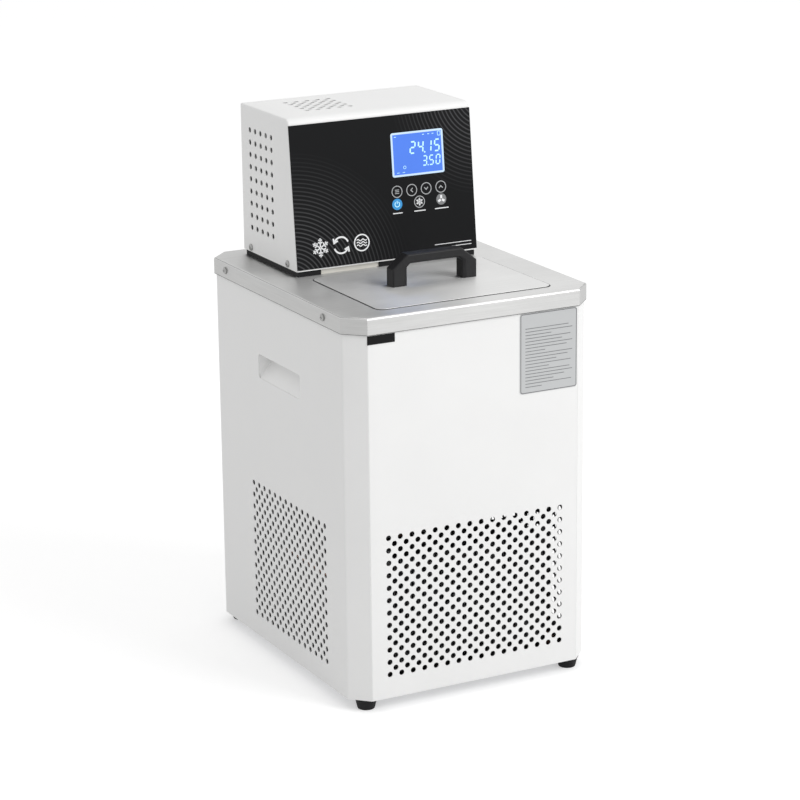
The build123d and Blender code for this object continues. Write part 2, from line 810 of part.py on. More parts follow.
def fan_rod(start, end, diameter, sides=shown_sides):
    """A round length on the fan's axis, measured from the shroud's front."""
    return rod((0, shroud_y + start, fan_z), (0, shroud_y + end, fan_z), diameter, sides)


def fan_shroud():
    """The square fan frame on the back of the condenser, with four spokes to the motor's seat."""
    half, back = fan_frame / 2, shroud_y + fan_frame_t
    frame = block(-half, half, shroud_y, back, fan_z - half, fan_z + half)
    frame -= fan_rod(0, fan_frame_t, fan_d + 2 * fan_tip_gap, bore_sides)
    bar, reach = fan_spoke / 2, fan_d / 2 + 2 * fan_tip_gap
    frame += block(-reach, reach, back - fan_spoke, back, fan_z - bar, fan_z + bar)
    frame += block(-bar, bar, back - fan_spoke, back, fan_z - reach, fan_z + reach)
    frame += fan_rod(fan_frame_t - fan_spoke, fan_frame_t, fan_motor_d)
    return frame - fan_rod(fan_frame_t - fan_spoke, fan_frame_t, fan_shaft_d + 2)


def fan_motor():
    """The small motor on its seat, with the shaft that carries the hub."""
    shaft = fan_rod(fan_frame_t - fan_spoke - fan_motor_l / 3, fan_frame_t, fan_shaft_d)
    return shaft + fan_rod(fan_frame_t, fan_frame_t + fan_motor_l, fan_motor_d)


def fan_rotor():
    """The hub and its pitched blades; it turns about the frame's axis."""
    depth = fan_frame_t - fan_spoke - fan_tip_gap - 1
    rotor = fan_rod(fan_tip_gap, fan_tip_gap + depth, fan_hub_d)
    root = fan_hub_d / 2 - fan_blade_t
    span = fan_d / 2 - root
    blade = Pos(root + span / 2, 0, 0) * Rot(fan_pitch, 0, 0) * Box(span, fan_blade_t, 1.3 * depth)
    for i in range(fan_blades):
        rotor += Pos(0, shroud_y + fan_tip_gap + depth / 2, fan_z) * Rot(0, i * 360 / fan_blades, 0) * blade
    bore_start = fan_frame_t - fan_spoke - fan_motor_l / 3 - seat_gap
    return rotor - fan_rod(bore_start, fan_frame_t, fan_shaft_d + 2 * shaft_play)


def tapered(low_d, high_d, height, sides=shown_sides):
    """A round length that narrows or widens evenly upwards, with flats."""
    lean = atan2((low_d - high_d) / 2 * cos(pi / sides), height)
    return extrude(disc(low_d, sides), height, taper=degrees(lean))


def compressor():
    """The hermetic compressor: a welded pot with a domed top and a base plate."""
    foot = foot_h + pan_sheet + compressor_lift
    d, h = compressor_d, compressor_h
    side, dome = 0.8 * h, 0.13 * h
    pot = extrude(disc(d, bore_sides), side) + Pos(0, 0, side) * tapered(d, 0.85 * d, dome, bore_sides)
    pot += Pos(0, 0, side + dome) * tapered(0.85 * d, 0.5 * d, h - side - dome, bore_sides)
    plate = extrude(Rectangle(mount_spread + 4 * pot_foot_t, mount_spread), pot_foot_t)
    return Pos(compressor_x, compressor_y, foot) * (pot + plate)


def compressor_mounts():
    """Rubber grommets between the compressor's plate and the floor tray."""
    floor, half = foot_h + pan_sheet, mount_spread / 2
    post = extrude(disc(4 * pot_foot_t), compressor_lift)
    return Compound([Pos(compressor_x + sx * half, compressor_y + sy * (half - mount_inset), floor) * post
                     for sx in (-1, 1) for sy in (-1, 1)])


def drier_place():
    """Where the foot of the filter drier stands, beside the compressor."""
    return compressor_x + compressor_d / 2 + drier_gap, compressor_y + drier_d, foot_h + pan_sheet + drier_len


def filter_drier():
    """The filter drier: a copper capsule with tapered ends, upright beside the compressor."""
    d, h = drier_d, drier_len
    capsule = tapered(line_d, d, d / 2) + Pos(0, 0, d / 2) * extrude(disc(d), h - d)
    return Pos(*drier_place()) * (capsule + Pos(0, 0, h - d / 2) * tapered(d, line_d, d / 2))


def refrigerant_lines():
    """Copper lines: compressor to the top of the condenser, and its foot to the filter drier."""
    x, y, z = drier_place()
    high, low = tube_height(condenser_tubes - 2), tube_height(0)
    out, behind = condenser_end + 2 * line_d, compressor_y + compressor_d / 2 + 2 * line_d
    first = [(compressor_x, compressor_y + compressor_d / 2, high), (compressor_x, behind, high),
             (-out, behind, high), (-out, condenser_y, high), (-condenser_end, condenser_y, high)]
    second = [(condenser_end, condenser_y, low), (out, condenser_y, low), (out, y, low), (x, y, low)]
    second.append((x, y, z))
    return Compound([bent_tube(first, line_d), bent_tube(second, line_d)])


def power_inlet():
    """The appliance inlet: a socket with three blades behind its rim, for a lead that unplugs."""
    rim = block(inlet_x - inlet_w / 2 - 3, inlet_x + inlet_w / 2 + 3, rear_y, rear_y + inlet_t,
                inlet_z - inlet_h / 2 - 3, inlet_z + inlet_h / 2 + 3)
    shell = rim + block(inlet_x - inlet_w / 2, inlet_x + inlet_w / 2, rear_y - inlet_depth, rear_y + inlet_t,
                        inlet_z - inlet_h / 2, inlet_z + inlet_h / 2)
    shell -= block(inlet_x - inlet_w / 2 + 2.5, inlet_x + inlet_w / 2 - 2.5, rear_y - inlet_depth + 4,
                   rear_y + inlet_t, inlet_z - inlet_h / 2 + 2.5, inlet_z + inlet_h / 2 - 2.5)
    for dx, dz in ((-7, -2), (7, -2), (0, 3)):
        shell += block(inlet_x + dx - 1, inlet_x + dx + 1, rear_y - inlet_depth + 3, rear_y - 5,
                       inlet_z + dz - 2, inlet_z + dz + 2)
    return shell


def switch_frame():
    """The frame of the mains switch, snapped into the back."""
    w, h, face = switch_w / 2 + rocker_gap, switch_h / 2 + rocker_gap, rear_y + switch_rim_t
    edge_w, edge_h, skin = w + switch_rim, h + switch_rim, switch_skin
    frame = block(inlet_x - edge_w, inlet_x + edge_w, rear_y, face, switch_z - edge_h, switch_z + edge_h)
    frame += block(inlet_x - w, inlet_x + w, rear_y - switch_depth, rear_y, switch_z - h, switch_z + h)
    return frame - block(inlet_x - w + skin, inlet_x + w - skin, rear_y - switch_depth + switch_rim, face,
                         switch_z - h + skin, switch_z + h - skin)


def switch_rocker():
    """The rocker, at rest in its OFF position; it tips about a pin across its middle."""
    h, deep = switch_h / 2, 4.0
    side = [(rocker_rise, -h), (rocker_rise - 1.4, 0), (rocker_rise, h), (-deep, h * 0.8), (-deep, -h * 0.8)]
    face = Plane((inlet_x - switch_w / 2, rear_y - 1, switch_z), x_dir=(0, 1, 0), z_dir=(1, 0, 0))
    rocker = extrude(face * make_face(Polyline(side, close=True)), switch_w)
    return rocker.rotate(Axis((inlet_x, rear_y - 1, switch_z), (1, 0, 0)), -rocker_tilt)


def drain_nozzle():
    """The drain outlet low on the back, with a hexagon seat."""
    start = (drain_x, rear_y, drain_z)
    plane = Plane(start, z_dir=(0, 1, 0))
    outlet = extrude(plane * RegularPolygon(nozzle_nut / 2, 6), nozzle_nut_t)
    outlet += extrude(plane * Circle(nozzle_d / 2), drain_len)
    outlet += rod((drain_x, rear_y - drain_tail, drain_z), start, nozzle_barb_d - hole_play)
    end = (drain_x, rear_y + drain_len, drain_z)
    return outlet - rod((drain_x, rear_y - drain_tail, drain_z), end, nozzle_bore)


def drain_place():
    """Where the drain leaves the bath's floor."""
    return drain_x - drain_side, tank_y + tank_d / 2 - tank_r - pipe_d


def drain_passage():
    """The square passage for the drain through the foam and the bridge."""
    x, y = drain_place()
    half = pipe_d / 2 + 1
    return block(x - half, x + half, y - half, y + half, foam_low - 2 * bridge_sheet, tank_floor)


def drain_pipe():
    """The pipe from the bath's floor down and back to the drain."""
    x, y = drain_place()
    turn_y = rear_y - 2 * drain_tail
    points = [(x, y, tank_floor - tank_sheet), (x, y, drain_z + 4 * drain_tail), (drain_x, turn_y, drain_z),
              (drain_x, rear_y - drain_tail, drain_z)]
    return bent_tube(points, pipe_d)


parts = {
    "base_pan": base_pan(), "rubber_feet": rubber_feet(), "front_panel": front_panel(),
    "left_side_panel": side_panel(-1), "right_side_panel": side_panel(1), "rear_panel": rear_panel(),
    "deck": deck(), "flange_screws": flange_screws(), "left_grip_cup": grip_cup(-1),
    "right_grip_cup": grip_cup(1), "info_plate": info_plate(), "badge_plate": badge_plate(),
    "tank": tank(), "tank_foam": tank_foam(), "tank_bridge": tank_bridge(), "cooling_coil": coil(),
    "heater": heater(), "temperature_probe": probe(), "pump_column": pump_column(),
    "pump_shaft": pump_shaft(), "impeller": impeller(), "pump_motor": pump_motor(),
    "delivery_pipe": delivery_pipe(), "return_pipe": return_pipe(),
    "supply_nozzle": hose_nozzle(nozzle_x), "return_nozzle": hose_nozzle(nozzle_x + nozzle_step),
    "head_cover": head_cover(), "head_base": head_base(), "head_back": head_back(),
    "head_pads": head_pads(), "spacer_strip": spacer_strip(),
    "panel_overlay": panel_overlay(), "display_frame": display_frame(), "display_glass": display_glass(),
    "touch_keys": touch_keys(), "control_board": control_board(), "cover_screws": cover_screws(),
    "lid": lid(), "lid_seal": lid_seal(), "lid_handle": lid_handle(), "handle_screws": handle_screws(),
    "condenser": condenser(), "fan_shroud": fan_shroud(), "fan_motor": fan_motor(), "fan_rotor": fan_rotor(),
    "compressor": compressor(), "compressor_mounts": compressor_mounts(), "filter_drier": filter_drier(),
    "refrigerant_lines": refrigerant_lines(), "power_inlet": power_inlet(), "switch_frame": switch_frame(),
    "switch_rocker": switch_rocker(), "drain_nozzle": drain_nozzle(), "drain_pipe": drain_pipe(),
}

# The origin lies under the middle of the whole part, so the few millimetres that the drain stands out
# at the back move everything forwards by half as much.
whole = Compound(list(parts.values())).bounding_box()
to_origin = Pos(-whole.center().X, -whole.center().Y, 0)
for node, solid in parts.items():
    export_step(to_origin * solid, f"parts/{node}.step")
print(f"origin moved by {-whole.center().X:.3f}, {-whole.center().Y:.3f}")
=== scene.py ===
from math import cos, pi, radians, sin, tan

import bmesh
import bpy
import numpy as np
from mathutils import Matrix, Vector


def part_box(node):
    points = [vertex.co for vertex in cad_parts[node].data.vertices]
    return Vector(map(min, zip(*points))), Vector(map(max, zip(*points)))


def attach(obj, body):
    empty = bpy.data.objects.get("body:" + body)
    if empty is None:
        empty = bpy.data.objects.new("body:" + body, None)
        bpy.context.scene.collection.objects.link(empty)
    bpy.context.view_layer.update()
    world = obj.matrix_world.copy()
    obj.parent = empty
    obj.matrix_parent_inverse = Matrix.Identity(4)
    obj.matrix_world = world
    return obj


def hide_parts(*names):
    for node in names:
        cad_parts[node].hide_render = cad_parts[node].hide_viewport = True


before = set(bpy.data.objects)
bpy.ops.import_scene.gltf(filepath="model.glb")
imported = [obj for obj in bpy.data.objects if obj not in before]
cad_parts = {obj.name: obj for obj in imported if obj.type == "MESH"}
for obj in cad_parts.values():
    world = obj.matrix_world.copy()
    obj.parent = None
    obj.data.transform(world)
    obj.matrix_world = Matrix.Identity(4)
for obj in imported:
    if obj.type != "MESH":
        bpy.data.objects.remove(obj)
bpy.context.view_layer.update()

# The studio: a long lens a little to the left of the chiller and a little above its deck, one large soft
# lamp in front, an even pale sky, and a white floor that keeps the chiller's own soft shadow.
mm = 0.001
view_azimuth, view_elevation, view_roll = radians(-27.78), radians(16.04), radians(-0.62)
view_target = np.array([5.6, -3.0, 286.5]) * mm
view_distance = 3207.7 * mm
sensor_width, focal_length = 36.0, 128.19
floor_half, floor_tone, floor_glow = 12.0, 0.74, 0.43
sky_level = 0.76
lamp_size, lamp_distance, lamp_power = 1.6, 3.0, 34.5
lamp_direction = np.array([0.40, -0.66, 0.50])


def turned(right, up, back, place):
    """A matrix whose columns are the three directions and the place that a camera or lamp has."""
    matrix = Matrix.Identity(4)
    for column, direction in enumerate((right, up, back, place)):
        for row in range(3):
            matrix[row][column] = direction[row]
    return matrix


def aimed(azimuth, elevation, roll):
    """Right, up and back directions of a view round the vertical axis, then rolled about its own axis."""
    back = np.array([sin(azimuth) * cos(elevation), -cos(azimuth) * cos(elevation), sin(elevation)])
    level = np.array([cos(azimuth), sin(azimuth), 0.0])
    upright = np.cross(back, level)
    return cos(roll) * level + sin(roll) * upright, cos(roll) * upright - sin(roll) * level, back


right, up, back = aimed(view_azimuth, view_elevation, view_roll)
camera = bpy.data.objects.new("camera", bpy.data.cameras.new("camera"))
camera.data.sensor_width = sensor_width
camera.data.lens = focal_length
camera.matrix_world = turned(right, up, back, view_target + view_distance * back)
bpy.context.scene.collection.objects.link(camera)
bpy.context.scene.camera = camera
bpy.context.scene.view_settings.view_transform = "Standard"

lamp_back = lamp_direction / np.linalg.norm(lamp_direction)
lamp_right = np.cross([0.0, 0.0, 1.0], lamp_back)
lamp_right /= np.linalg.norm(lamp_right)
lamp = bpy.data.objects.new("soft_lamp", bpy.data.lights.new("soft_lamp", "AREA"))
lamp.data.size = lamp_size
lamp.data.energy = lamp_power
lamp.matrix_world = turned(lamp_right, np.cross(lamp_back, lamp_right), lamp_back,
                           view_target + lamp_distance * lamp_back)
bpy.context.scene.collection.objects.link(lamp)


def wired(tree, kind, inputs=None, **settings):
    """A new shader node. Each input takes a link where it is given another node's output, and otherwise
    a constant."""
    made = tree.nodes.new("ShaderNode" + kind)
    for label, value in settings.items():
        setattr(made, label, value)
    for label, value in (inputs or {}).items():
        if isinstance(value, bpy.types.NodeSocket):
            tree.links.new(value, made.inputs[label])
        else:
            made.inputs[label].default_value = value
    return made


def seen_or_mirrored(tree):
    """One for rays from the camera, off a mirror or through glass, and nought for all the others."""
    rays = wired(tree, "LightPath").outputs
    seen = wired(tree, "Math", {0: rays["Is Camera Ray"], 1: rays["Is Glossy Ray"]}, operation="MAXIMUM")
    both = wired(tree, "Math", {0: seen.outputs[0], 1: rays["Is Transmission Ray"]}, operation="MAXIMUM")
    return both.outputs[0]


world = bpy.data.worlds.new("pale_sky")
bpy.context.scene.world = world
world.use_nodes = True
sky = world.node_tree
sky_range = wired(sky, "MapRange", {"Value": seen_or_mirrored(sky), "To Min": sky_level, "To Max": 1.0})
sky.links.new(sky_range.outputs["Result"], sky.nodes["Background"].inputs["Strength"])
sky.nodes["Background"].inputs["Color"].default_value = (1.0, 1.0, 1.0, 1.0)


def link_object(name, mesh):
    """A new object with this mesh, at the origin and unturned."""
    made = bpy.data.objects.new(name, mesh)
    bpy.context.scene.collection.objects.link(made)
    return made


def set_shader(name, values):
    """A material and its Principled shader, with the constant values on the shader's own sockets."""
    material = bpy.data.materials.new(name)
    material.use_nodes = True
    shader = material.node_tree.nodes["Principled BSDF"]
    for label, value in values.items():
        shader.inputs[label].default_value = value
    return material, material.node_tree, shader


floor_mesh = bpy.data.meshes.new("floor")
floor_mesh.from_pydata([(-floor_half, -floor_half, 0), (floor_half, -floor_half, 0),
                        (floor_half, floor_half, 0), (-floor_half, floor_half, 0)], [], [(0, 1, 2, 3)])
floor = link_object("floor", floor_mesh)
floor_paint, floor_tree, floor_shader = set_shader("white_floor", {
    "Base Color": (floor_tone, floor_tone, floor_tone, 1.0), "Roughness": 1.0, "Specular IOR Level": 0.0,
    "Emission Color": (1.0, 1.0, 1.0, 1.0)})
floor_range = wired(floor_tree, "MapRange", {"Value": seen_or_mirrored(floor_tree), "To Max": floor_glow})
floor_tree.links.new(floor_range.outputs["Result"], floor_shader.inputs["Emission Strength"])
floor.data.materials.append(floor_paint)


# Four tapered rubber feet, each moulded with a rounded, slightly dished sole and a shallow collar at its
# top, and screwed up into the corners of the floor tray.
foot_place, foot_top_r, foot_neck_r, foot_low_r = 13.2 * mm, 13.0 * mm, 12.2 * mm, 9.8 * mm
foot_sole_r, foot_collar, collar_edge, dish_depth, dish_rim = 1.6 * mm, 1.5 * mm, 0.3 * mm, 0.4 * mm, 2.4 * mm
crisp_angle, weld_gap = radians(32), 0.002 * mm
noise_low, noise_high, gloss_drift = 0.3, 0.7, 0.05


def grid_faces(rows, columns, close_rows=False, close_columns=False):
    """Quads between neighbours of a grid of points numbered row by row; a closed way wraps round."""
    i = np.arange(rows if close_rows else rows - 1)[:, None]
    j = np.arange(columns if close_columns else columns - 1)[None, :]
    ahead, beside = (i + 1) % rows, (j + 1) % columns
    quads = [i * columns + j, ahead * columns + j, ahead * columns + beside, i * columns + beside]
    return np.stack([np.broadcast_to(q, (i.size, j.size)) for q in quads], axis=-1).reshape(-1, 4)


def mesh_of(name, points, quads, merge=weld_gap):
    """A mesh from an array of points and an array of quads, with doubled points merged, faces turned
    outwards and edges sharper than crisp_angle left crisp."""
    mesh = bpy.data.meshes.new(name)
    mesh.vertices.add(len(points))
    mesh.vertices.foreach_set("co", np.asarray(points, dtype=np.float32).ravel())
    quads = np.asarray(quads, dtype=np.int32)
    mesh.loops.add(quads.size)
    mesh.loops.foreach_set("vertex_index", quads.ravel())
    mesh.polygons.add(len(quads))
    mesh.polygons.foreach_set("loop_start", np.arange(len(quads), dtype=np.int32) * 4)
    mesh.update(calc_edges=True)
    cleaned = bmesh.new()
    cleaned.from_mesh(mesh)
    bmesh.ops.remove_doubles(cleaned, verts=cleaned.verts, dist=merge)
    bmesh.ops.recalc_face_normals(cleaned, faces=cleaned.faces)
    cleaned.to_mesh(mesh)
    cleaned.free()
    mesh.shade_smooth()
    mesh.set_sharp_from_angle(angle=crisp_angle)
    return mesh


def square_to(axis):
    """Two unit directions at right angles to an axis and to each other."""
    side = np.cross(axis, [0.0, 0.0, 1.0] if abs(axis[2]) < 0.9 else [1.0, 0.0, 0.0])
    side /= np.linalg.norm(side)
    return side, np.cross(axis, side)


def lathe(profile, centre, axis=(0, 0, 1), sides=48):
    """Points and quads of a profile of (radius, height) pairs turned about an axis through a centre:
    centre + height * axis + radius * (cos t * side + sin t * other)."""
    axis = np.array(axis, dtype=float)
    side, other = square_to(axis)
    turn = np.linspace(0, 2 * pi, sides, endpoint=False)[None, :, None]
    profile = np.array(profile, dtype=float)
    radius, height = profile[:, 0][:, None, None], profile[:, 1][:, None, None]
    points = np.array(centre) + height * axis + radius * (np.cos(turn) * side + np.sin(turn) * other)
    return points.reshape(-1, 3), grid_faces(len(profile), sides, close_columns=True)


def joined(parts):
    """Several (points, quads) pairs as one pair."""
    counts = np.cumsum([0] + [len(points) for points, _ in parts])
    quads = [faces + start for (_, faces), start in zip(parts, counts)]
    return np.vstack([points for points, _ in parts]), np.vstack(quads)


def piece_of(name, parts):
    """One object made of several (points, quads) pairs."""
    return link_object(name, mesh_of(name, *joined(parts)))


def new_group(name, inputs, outputs):
    """An empty shader node group with named sockets: (name, kind, default) in and (name, kind) out."""
    group = bpy.data.node_groups.new(name, "ShaderNodeTree")
    for label, kind, value in inputs:
        socket = group.interface.new_socket(label, in_out="INPUT", socket_type=kind)
        socket.default_value = value
    for label, kind in outputs:
        group.interface.new_socket(label, in_out="OUTPUT", socket_type=kind)
    return group, group.nodes.new("NodeGroupInput"), group.nodes.new("NodeGroupOutput")


grain_group, grain_in, grain_out = new_group(
    "fine_grain", [("Vector", "NodeSocketVector", (0, 0, 0)), ("Grain Scale", "NodeSocketFloat", 900.0),
                   ("Cloud Scale", "NodeSocketFloat", 12.0)],
    [("Grain", "NodeSocketFloat"), ("Cloud", "NodeSocketFloat")])
for scale_name, out_name, detail in (("Grain Scale", "Grain", 2.0), ("Cloud Scale", "Cloud", 4.0)):
    noise = wired(grain_group, "TexNoise", {"Detail": detail, "Vector": grain_in.outputs["Vector"],
                                            "Scale": grain_in.outputs[scale_name]})
    grain_group.links.new(noise.outputs["Fac"], grain_out.inputs[out_name])


def ranged(tree, source, low, high):
    """A value that runs evenly from low to high as the source runs over the middle of a noise."""
    made = wired(tree, "MapRange", {"Value": source, "From Min": noise_low, "From Max": noise_high,
                                    "To Min": low, "To Max": high})
    return made.outputs["Result"]


def two_tones(tree, source, colour, spread):
    """A colour that drifts a little darker and lighter with the source."""
    mix = wired(tree, "Mix", {"A": (*[c * (1 - spread) for c in colour], 1.0),
                              "B": (*[min(1.0, c * (1 + spread)) for c in colour], 1.0),
                              "Factor": ranged(tree, source, 0.0, 1.0)}, data_type="RGBA")
    return mix.outputs["Result"]


def bumped(tree, source, shader, height):
    """Fine relief of this height, in metres, from the source."""
    bump = wired(tree, "Bump", {"Distance": height, "Strength": 1.0, "Height": source})
    tree.links.new(bump.outputs["Normal"], shader.inputs["Normal"])


def grain_on(tree, **scales):
    """The outputs of the fine grain over a piece's own coordinates, at these scales."""
    place = wired(tree, "TexCoord").outputs["Object"]
    return wired(tree, "Group", {"Vector": place, **scales}, node_tree=grain_group).outputs


def grained(name, colour, roughness, grain_mm, relief_mm, spread=0.04, gloss=0.5, **values):
    """A moulded or coated finish: grain of one size in the relief, slow drift in tone and gloss."""
    material, tree, shader = set_shader(name, {"Specular IOR Level": gloss, **values})
    grain = grain_on(tree, **{"Grain Scale": 1.0 / (grain_mm * mm)})
    tree.links.new(two_tones(tree, grain["Cloud"], colour, spread), shader.inputs["Base Color"])
    tree.links.new(ranged(tree, grain["Cloud"], roughness - gloss_drift, roughness + gloss_drift),
                   shader.inputs["Roughness"])
    bumped(tree, grain["Grain"], shader, relief_mm * mm)
    return material


def seated(piece, material, body, slot, *nodes):
    """Gives a finished piece its material, unless it has one, and its body, and hides the nodes that it
    stands for. slot is not used."""
    if not piece.data.materials:
        piece.data.materials.append(material)
    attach(piece, body)
    if nodes:
        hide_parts(*nodes)


feet_low, feet_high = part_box("rubber_feet")
foot_profile = [(0.0, dish_depth), (foot_low_r - dish_rim - 0.6 * mm, dish_depth),
                (foot_low_r - dish_rim, 0.0), (foot_low_r - foot_sole_r, 0.0),
                (foot_low_r - 0.3 * foot_sole_r, 0.3 * foot_sole_r),
                (foot_low_r, foot_sole_r), (foot_neck_r, feet_high[2] - foot_collar),
                (foot_top_r, feet_high[2] - foot_collar + collar_edge), (foot_top_r, feet_high[2]),
                (0.0, feet_high[2])]
feet = [lathe(foot_profile, (x, y, 0.0)) for x in (feet_low[0] + foot_place, feet_high[0] - foot_place)
        for y in (feet_low[1] + foot_place, feet_high[1] - foot_place)]
black_rubber = grained("black_rubber", (0.010, 0.010, 0.011), 0.62, 0.5, 0.02, gloss=0.2)
seated(piece_of("feet", feet), black_rubber, "chassis", "black_rubber", "rubber_feet")


# The carcass: a galvanised floor tray and the folded bridge over the refrigeration parts, both pressed
# from sheet, with the plain painted back that closes the cabinet behind.
spangles_per_m, spangle_spread, spangle_drift = 120.0, 0.12, 0.08


def dress(material, *nodes):
    """Puts a material in the slots of CAD nodes that stay as they are."""
    for name in nodes:
        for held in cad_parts[name].material_slots:
            held.material = material


def spangled(name, colour, roughness):
    """Galvanised sheet: flat crystals of zinc, each a little lighter or darker than the next."""
    material, tree, shader = set_shader(name, {"Metallic": 0.9})
    place = wired(tree, "TexCoord").outputs["Object"]
    crystals = wired(tree, "TexVoronoi", {"Scale": spangles_per_m, "Vector": place})
    parted = wired(tree, "SeparateColor", {"Color": crystals.outputs["Color"]}).outputs
    tree.links.new(two_tones(tree, parted["Red"], colour, spangle_spread), shader.inputs["Base Color"])
    tree.links.new(ranged(tree, parted["Green"], roughness - spangle_drift, roughness + spangle_drift),
                   shader.inputs["Roughness"])
    return material


zinc = spangled("zinc_plate", (0.42, 0.43, 0.45), 0.42)
white_paint = grained("white_paint", (0.86, 0.86, 0.855), 0.42, 0.9, 0.012, spread=0.012)
# Near black for the inner faces of the sheets: painted shade for the dark inside seen through the vents.
inner_face_shade = grained("inner_face_shade", (0.035, 0.035, 0.036), 0.6, 1.0, 0.01)
dress(zinc, "base_pan", "tank_bridge")


# The refrigeration parts low in the cabinet: finned condenser behind the front vents, fan in its shroud,
# enamelled compressor on rubber mounts, copper lines and filter drier.
fin_pitch, fin_t, core_inset = 2.6 * mm, 0.25 * mm, 8.0 * mm
tube_r, tube_count, tube_sides = 4.75 * mm, 5, 24
pipe_bend, pipe_steps, pipe_rings, pipe_angle = 14.0 * mm, 7, 5, radians(40)


def slab(low, high):
    """Points and quads of a plain block between two corners."""
    corners = np.array([[x, y, z] for x in (low[0], high[0]) for y in (low[1], high[1])
                        for z in (low[2], high[2])])
    quads = np.array([(0, 1, 3, 2), (4, 6, 7, 5), (0, 4, 5, 1), (2, 3, 7, 6), (0, 2, 6, 4), (1, 5, 7, 3)])
    return corners, quads


def eased(route, bend, steps=pipe_steps):
    """A route of straight runs with each corner eased by a parabola between points that lie one bend
    before and after it: (1-t)^2 a + 2t(1-t) corner + t^2 b."""
    route = np.array(route, dtype=float)
    before, corner, after = route[:-2], route[1:-1], route[2:]
    into, out = corner - before, after - corner
    run_in, run_out = np.linalg.norm(into, axis=1), np.linalg.norm(out, axis=1)
    reach = np.minimum(bend, 0.49 * np.minimum(run_in, run_out))[:, None]
    a = corner - into / run_in[:, None] * reach
    b = corner + out / run_out[:, None] * reach
    t = np.linspace(0, 1, steps)[None, :, None]
    turns = (1 - t) ** 2 * a[:, None] + 2 * t * (1 - t) * corner[:, None] + t ** 2 * b[:, None]
    return np.vstack([route[:1], turns.reshape(-1, route.shape[1]), route[-1:]])


def piping(name, route, radius):
    """An object with a mesh of a round tube along an eased route, swept by a curve."""
    curve = bpy.data.curves.new(name, "CURVE")
    curve.dimensions = "3D"
    curve.bevel_depth = radius
    curve.bevel_resolution = pipe_rings
    curve.use_fill_caps = True
    points = eased(route, pipe_bend)
    spline = curve.splines.new("POLY")
    spline.points.add(len(points) - 1)
    spline.points.foreach_set("co", np.hstack([points, np.ones((len(points), 1))]).ravel())
    holder = bpy.data.objects.new(name, curve)
    mesh = bpy.data.meshes.new_from_object(holder)
    bpy.data.objects.remove(holder)
    mesh.shade_smooth()
    mesh.set_sharp_from_angle(angle=pipe_angle)
    return link_object(name, mesh)


condenser_low, condenser_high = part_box("condenser")
fin_x = np.arange(condenser_low[0] + core_inset, condenser_high[0] - core_inset, fin_pitch)
fins = [slab((x, condenser_low[1], condenser_low[2]), (x + fin_t, condenser_high[1], condenser_high[2]))
        for x in fin_x]
tube_step = (condenser_high[2] - condenser_low[2]) / tube_count
tube_y, tube_length = (condenser_low[1] + condenser_high[1]) / 2, condenser_high[0] - condenser_low[0]
tube_profile = [(0, 0), (tube_r, 0), (tube_r, tube_length), (0, tube_length)]
tubes = [lathe(tube_profile, (condenser_low[0], tube_y, condenser_low[2] + (i + 0.5) * tube_step), (1, 0, 0),
               tube_sides) for i in range(tube_count)]
fin_alloy = grained("fin_alloy", (0.30, 0.31, 0.32), 0.38, 1.5, 0.01, Metallic=0.9)
copper = grained("copper", (0.62, 0.30, 0.19), 0.30, 1.2, 0.01, spread=0.10, Metallic=1.0)
seated(piece_of("condenser_fins", fins), fin_alloy, "chassis", "alloy", "condenser")
seated(piece_of("condenser_tubes", tubes), copper, "chassis", "copper")

black_enamel = grained("black_enamel", (0.014, 0.014, 0.015), 0.30, 2.0, 0.03, spread=0.1)
black_moulding = grained("black_moulding", (0.011, 0.011, 0.012), 0.40, 0.5, 0.02, spread=0.08, gloss=0.28)
fan_moulding = grained("fan_moulding", (0.022, 0.022, 0.024), 0.48, 0.6, 0.02)
dress(black_enamel, "compressor", "fan_motor", "pump_motor")
dress(fan_moulding, "fan_shroud", "fan_rotor")
dress(black_rubber, "compressor_mounts")
dress(copper, "filter_drier", "refrigerant_lines")


# The bath: a welded stainless tank in closed-cell foam, with the cooling coil, the heating loop, the
# probe and the pump hanging in it from the head's base.
coil_r, coil_turns, coil_pitch = 4.0 * mm, 3, 18.0 * mm
coil_lead_gap, coil_lead = 30.0 * mm, 14.0 * mm
heater_r = 4.0 * mm
smear_strength, streak_rough, streak_detail = 0.85, 0.6, 3.0
streak_spread, steel_smoother, steel_rougher = 0.05, 0.04, 0.05
brushed_group, brushed_in, brushed_out = new_group(
    "brushed_lines", [("Vector", "NodeSocketVector", (0, 0, 0)), ("Stretch", "NodeSocketVector", (1, 1, 1)),
                      ("Cloud Scale", "NodeSocketFloat", 8.0)],
    [("Streaks", "NodeSocketFloat"), ("Cloud", "NodeSocketFloat")])
stretched = wired(brushed_group, "VectorMath", {0: brushed_in.outputs["Vector"],
                                                1: brushed_in.outputs["Stretch"]}, operation="MULTIPLY")
streaks = wired(brushed_group, "TexNoise", {"Scale": 1.0, "Detail": streak_detail, "Roughness": streak_rough,
                                            "Vector": stretched.outputs["Vector"]})
clouds = wired(brushed_group, "TexNoise", {"Detail": streak_detail, "Vector": brushed_in.outputs["Vector"],
                                           "Scale": brushed_in.outputs["Cloud Scale"]})
brushed_group.links.new(streaks.outputs["Fac"], brushed_out.inputs["Streaks"])
brushed_group.links.new(clouds.outputs["Fac"], brushed_out.inputs["Cloud"])


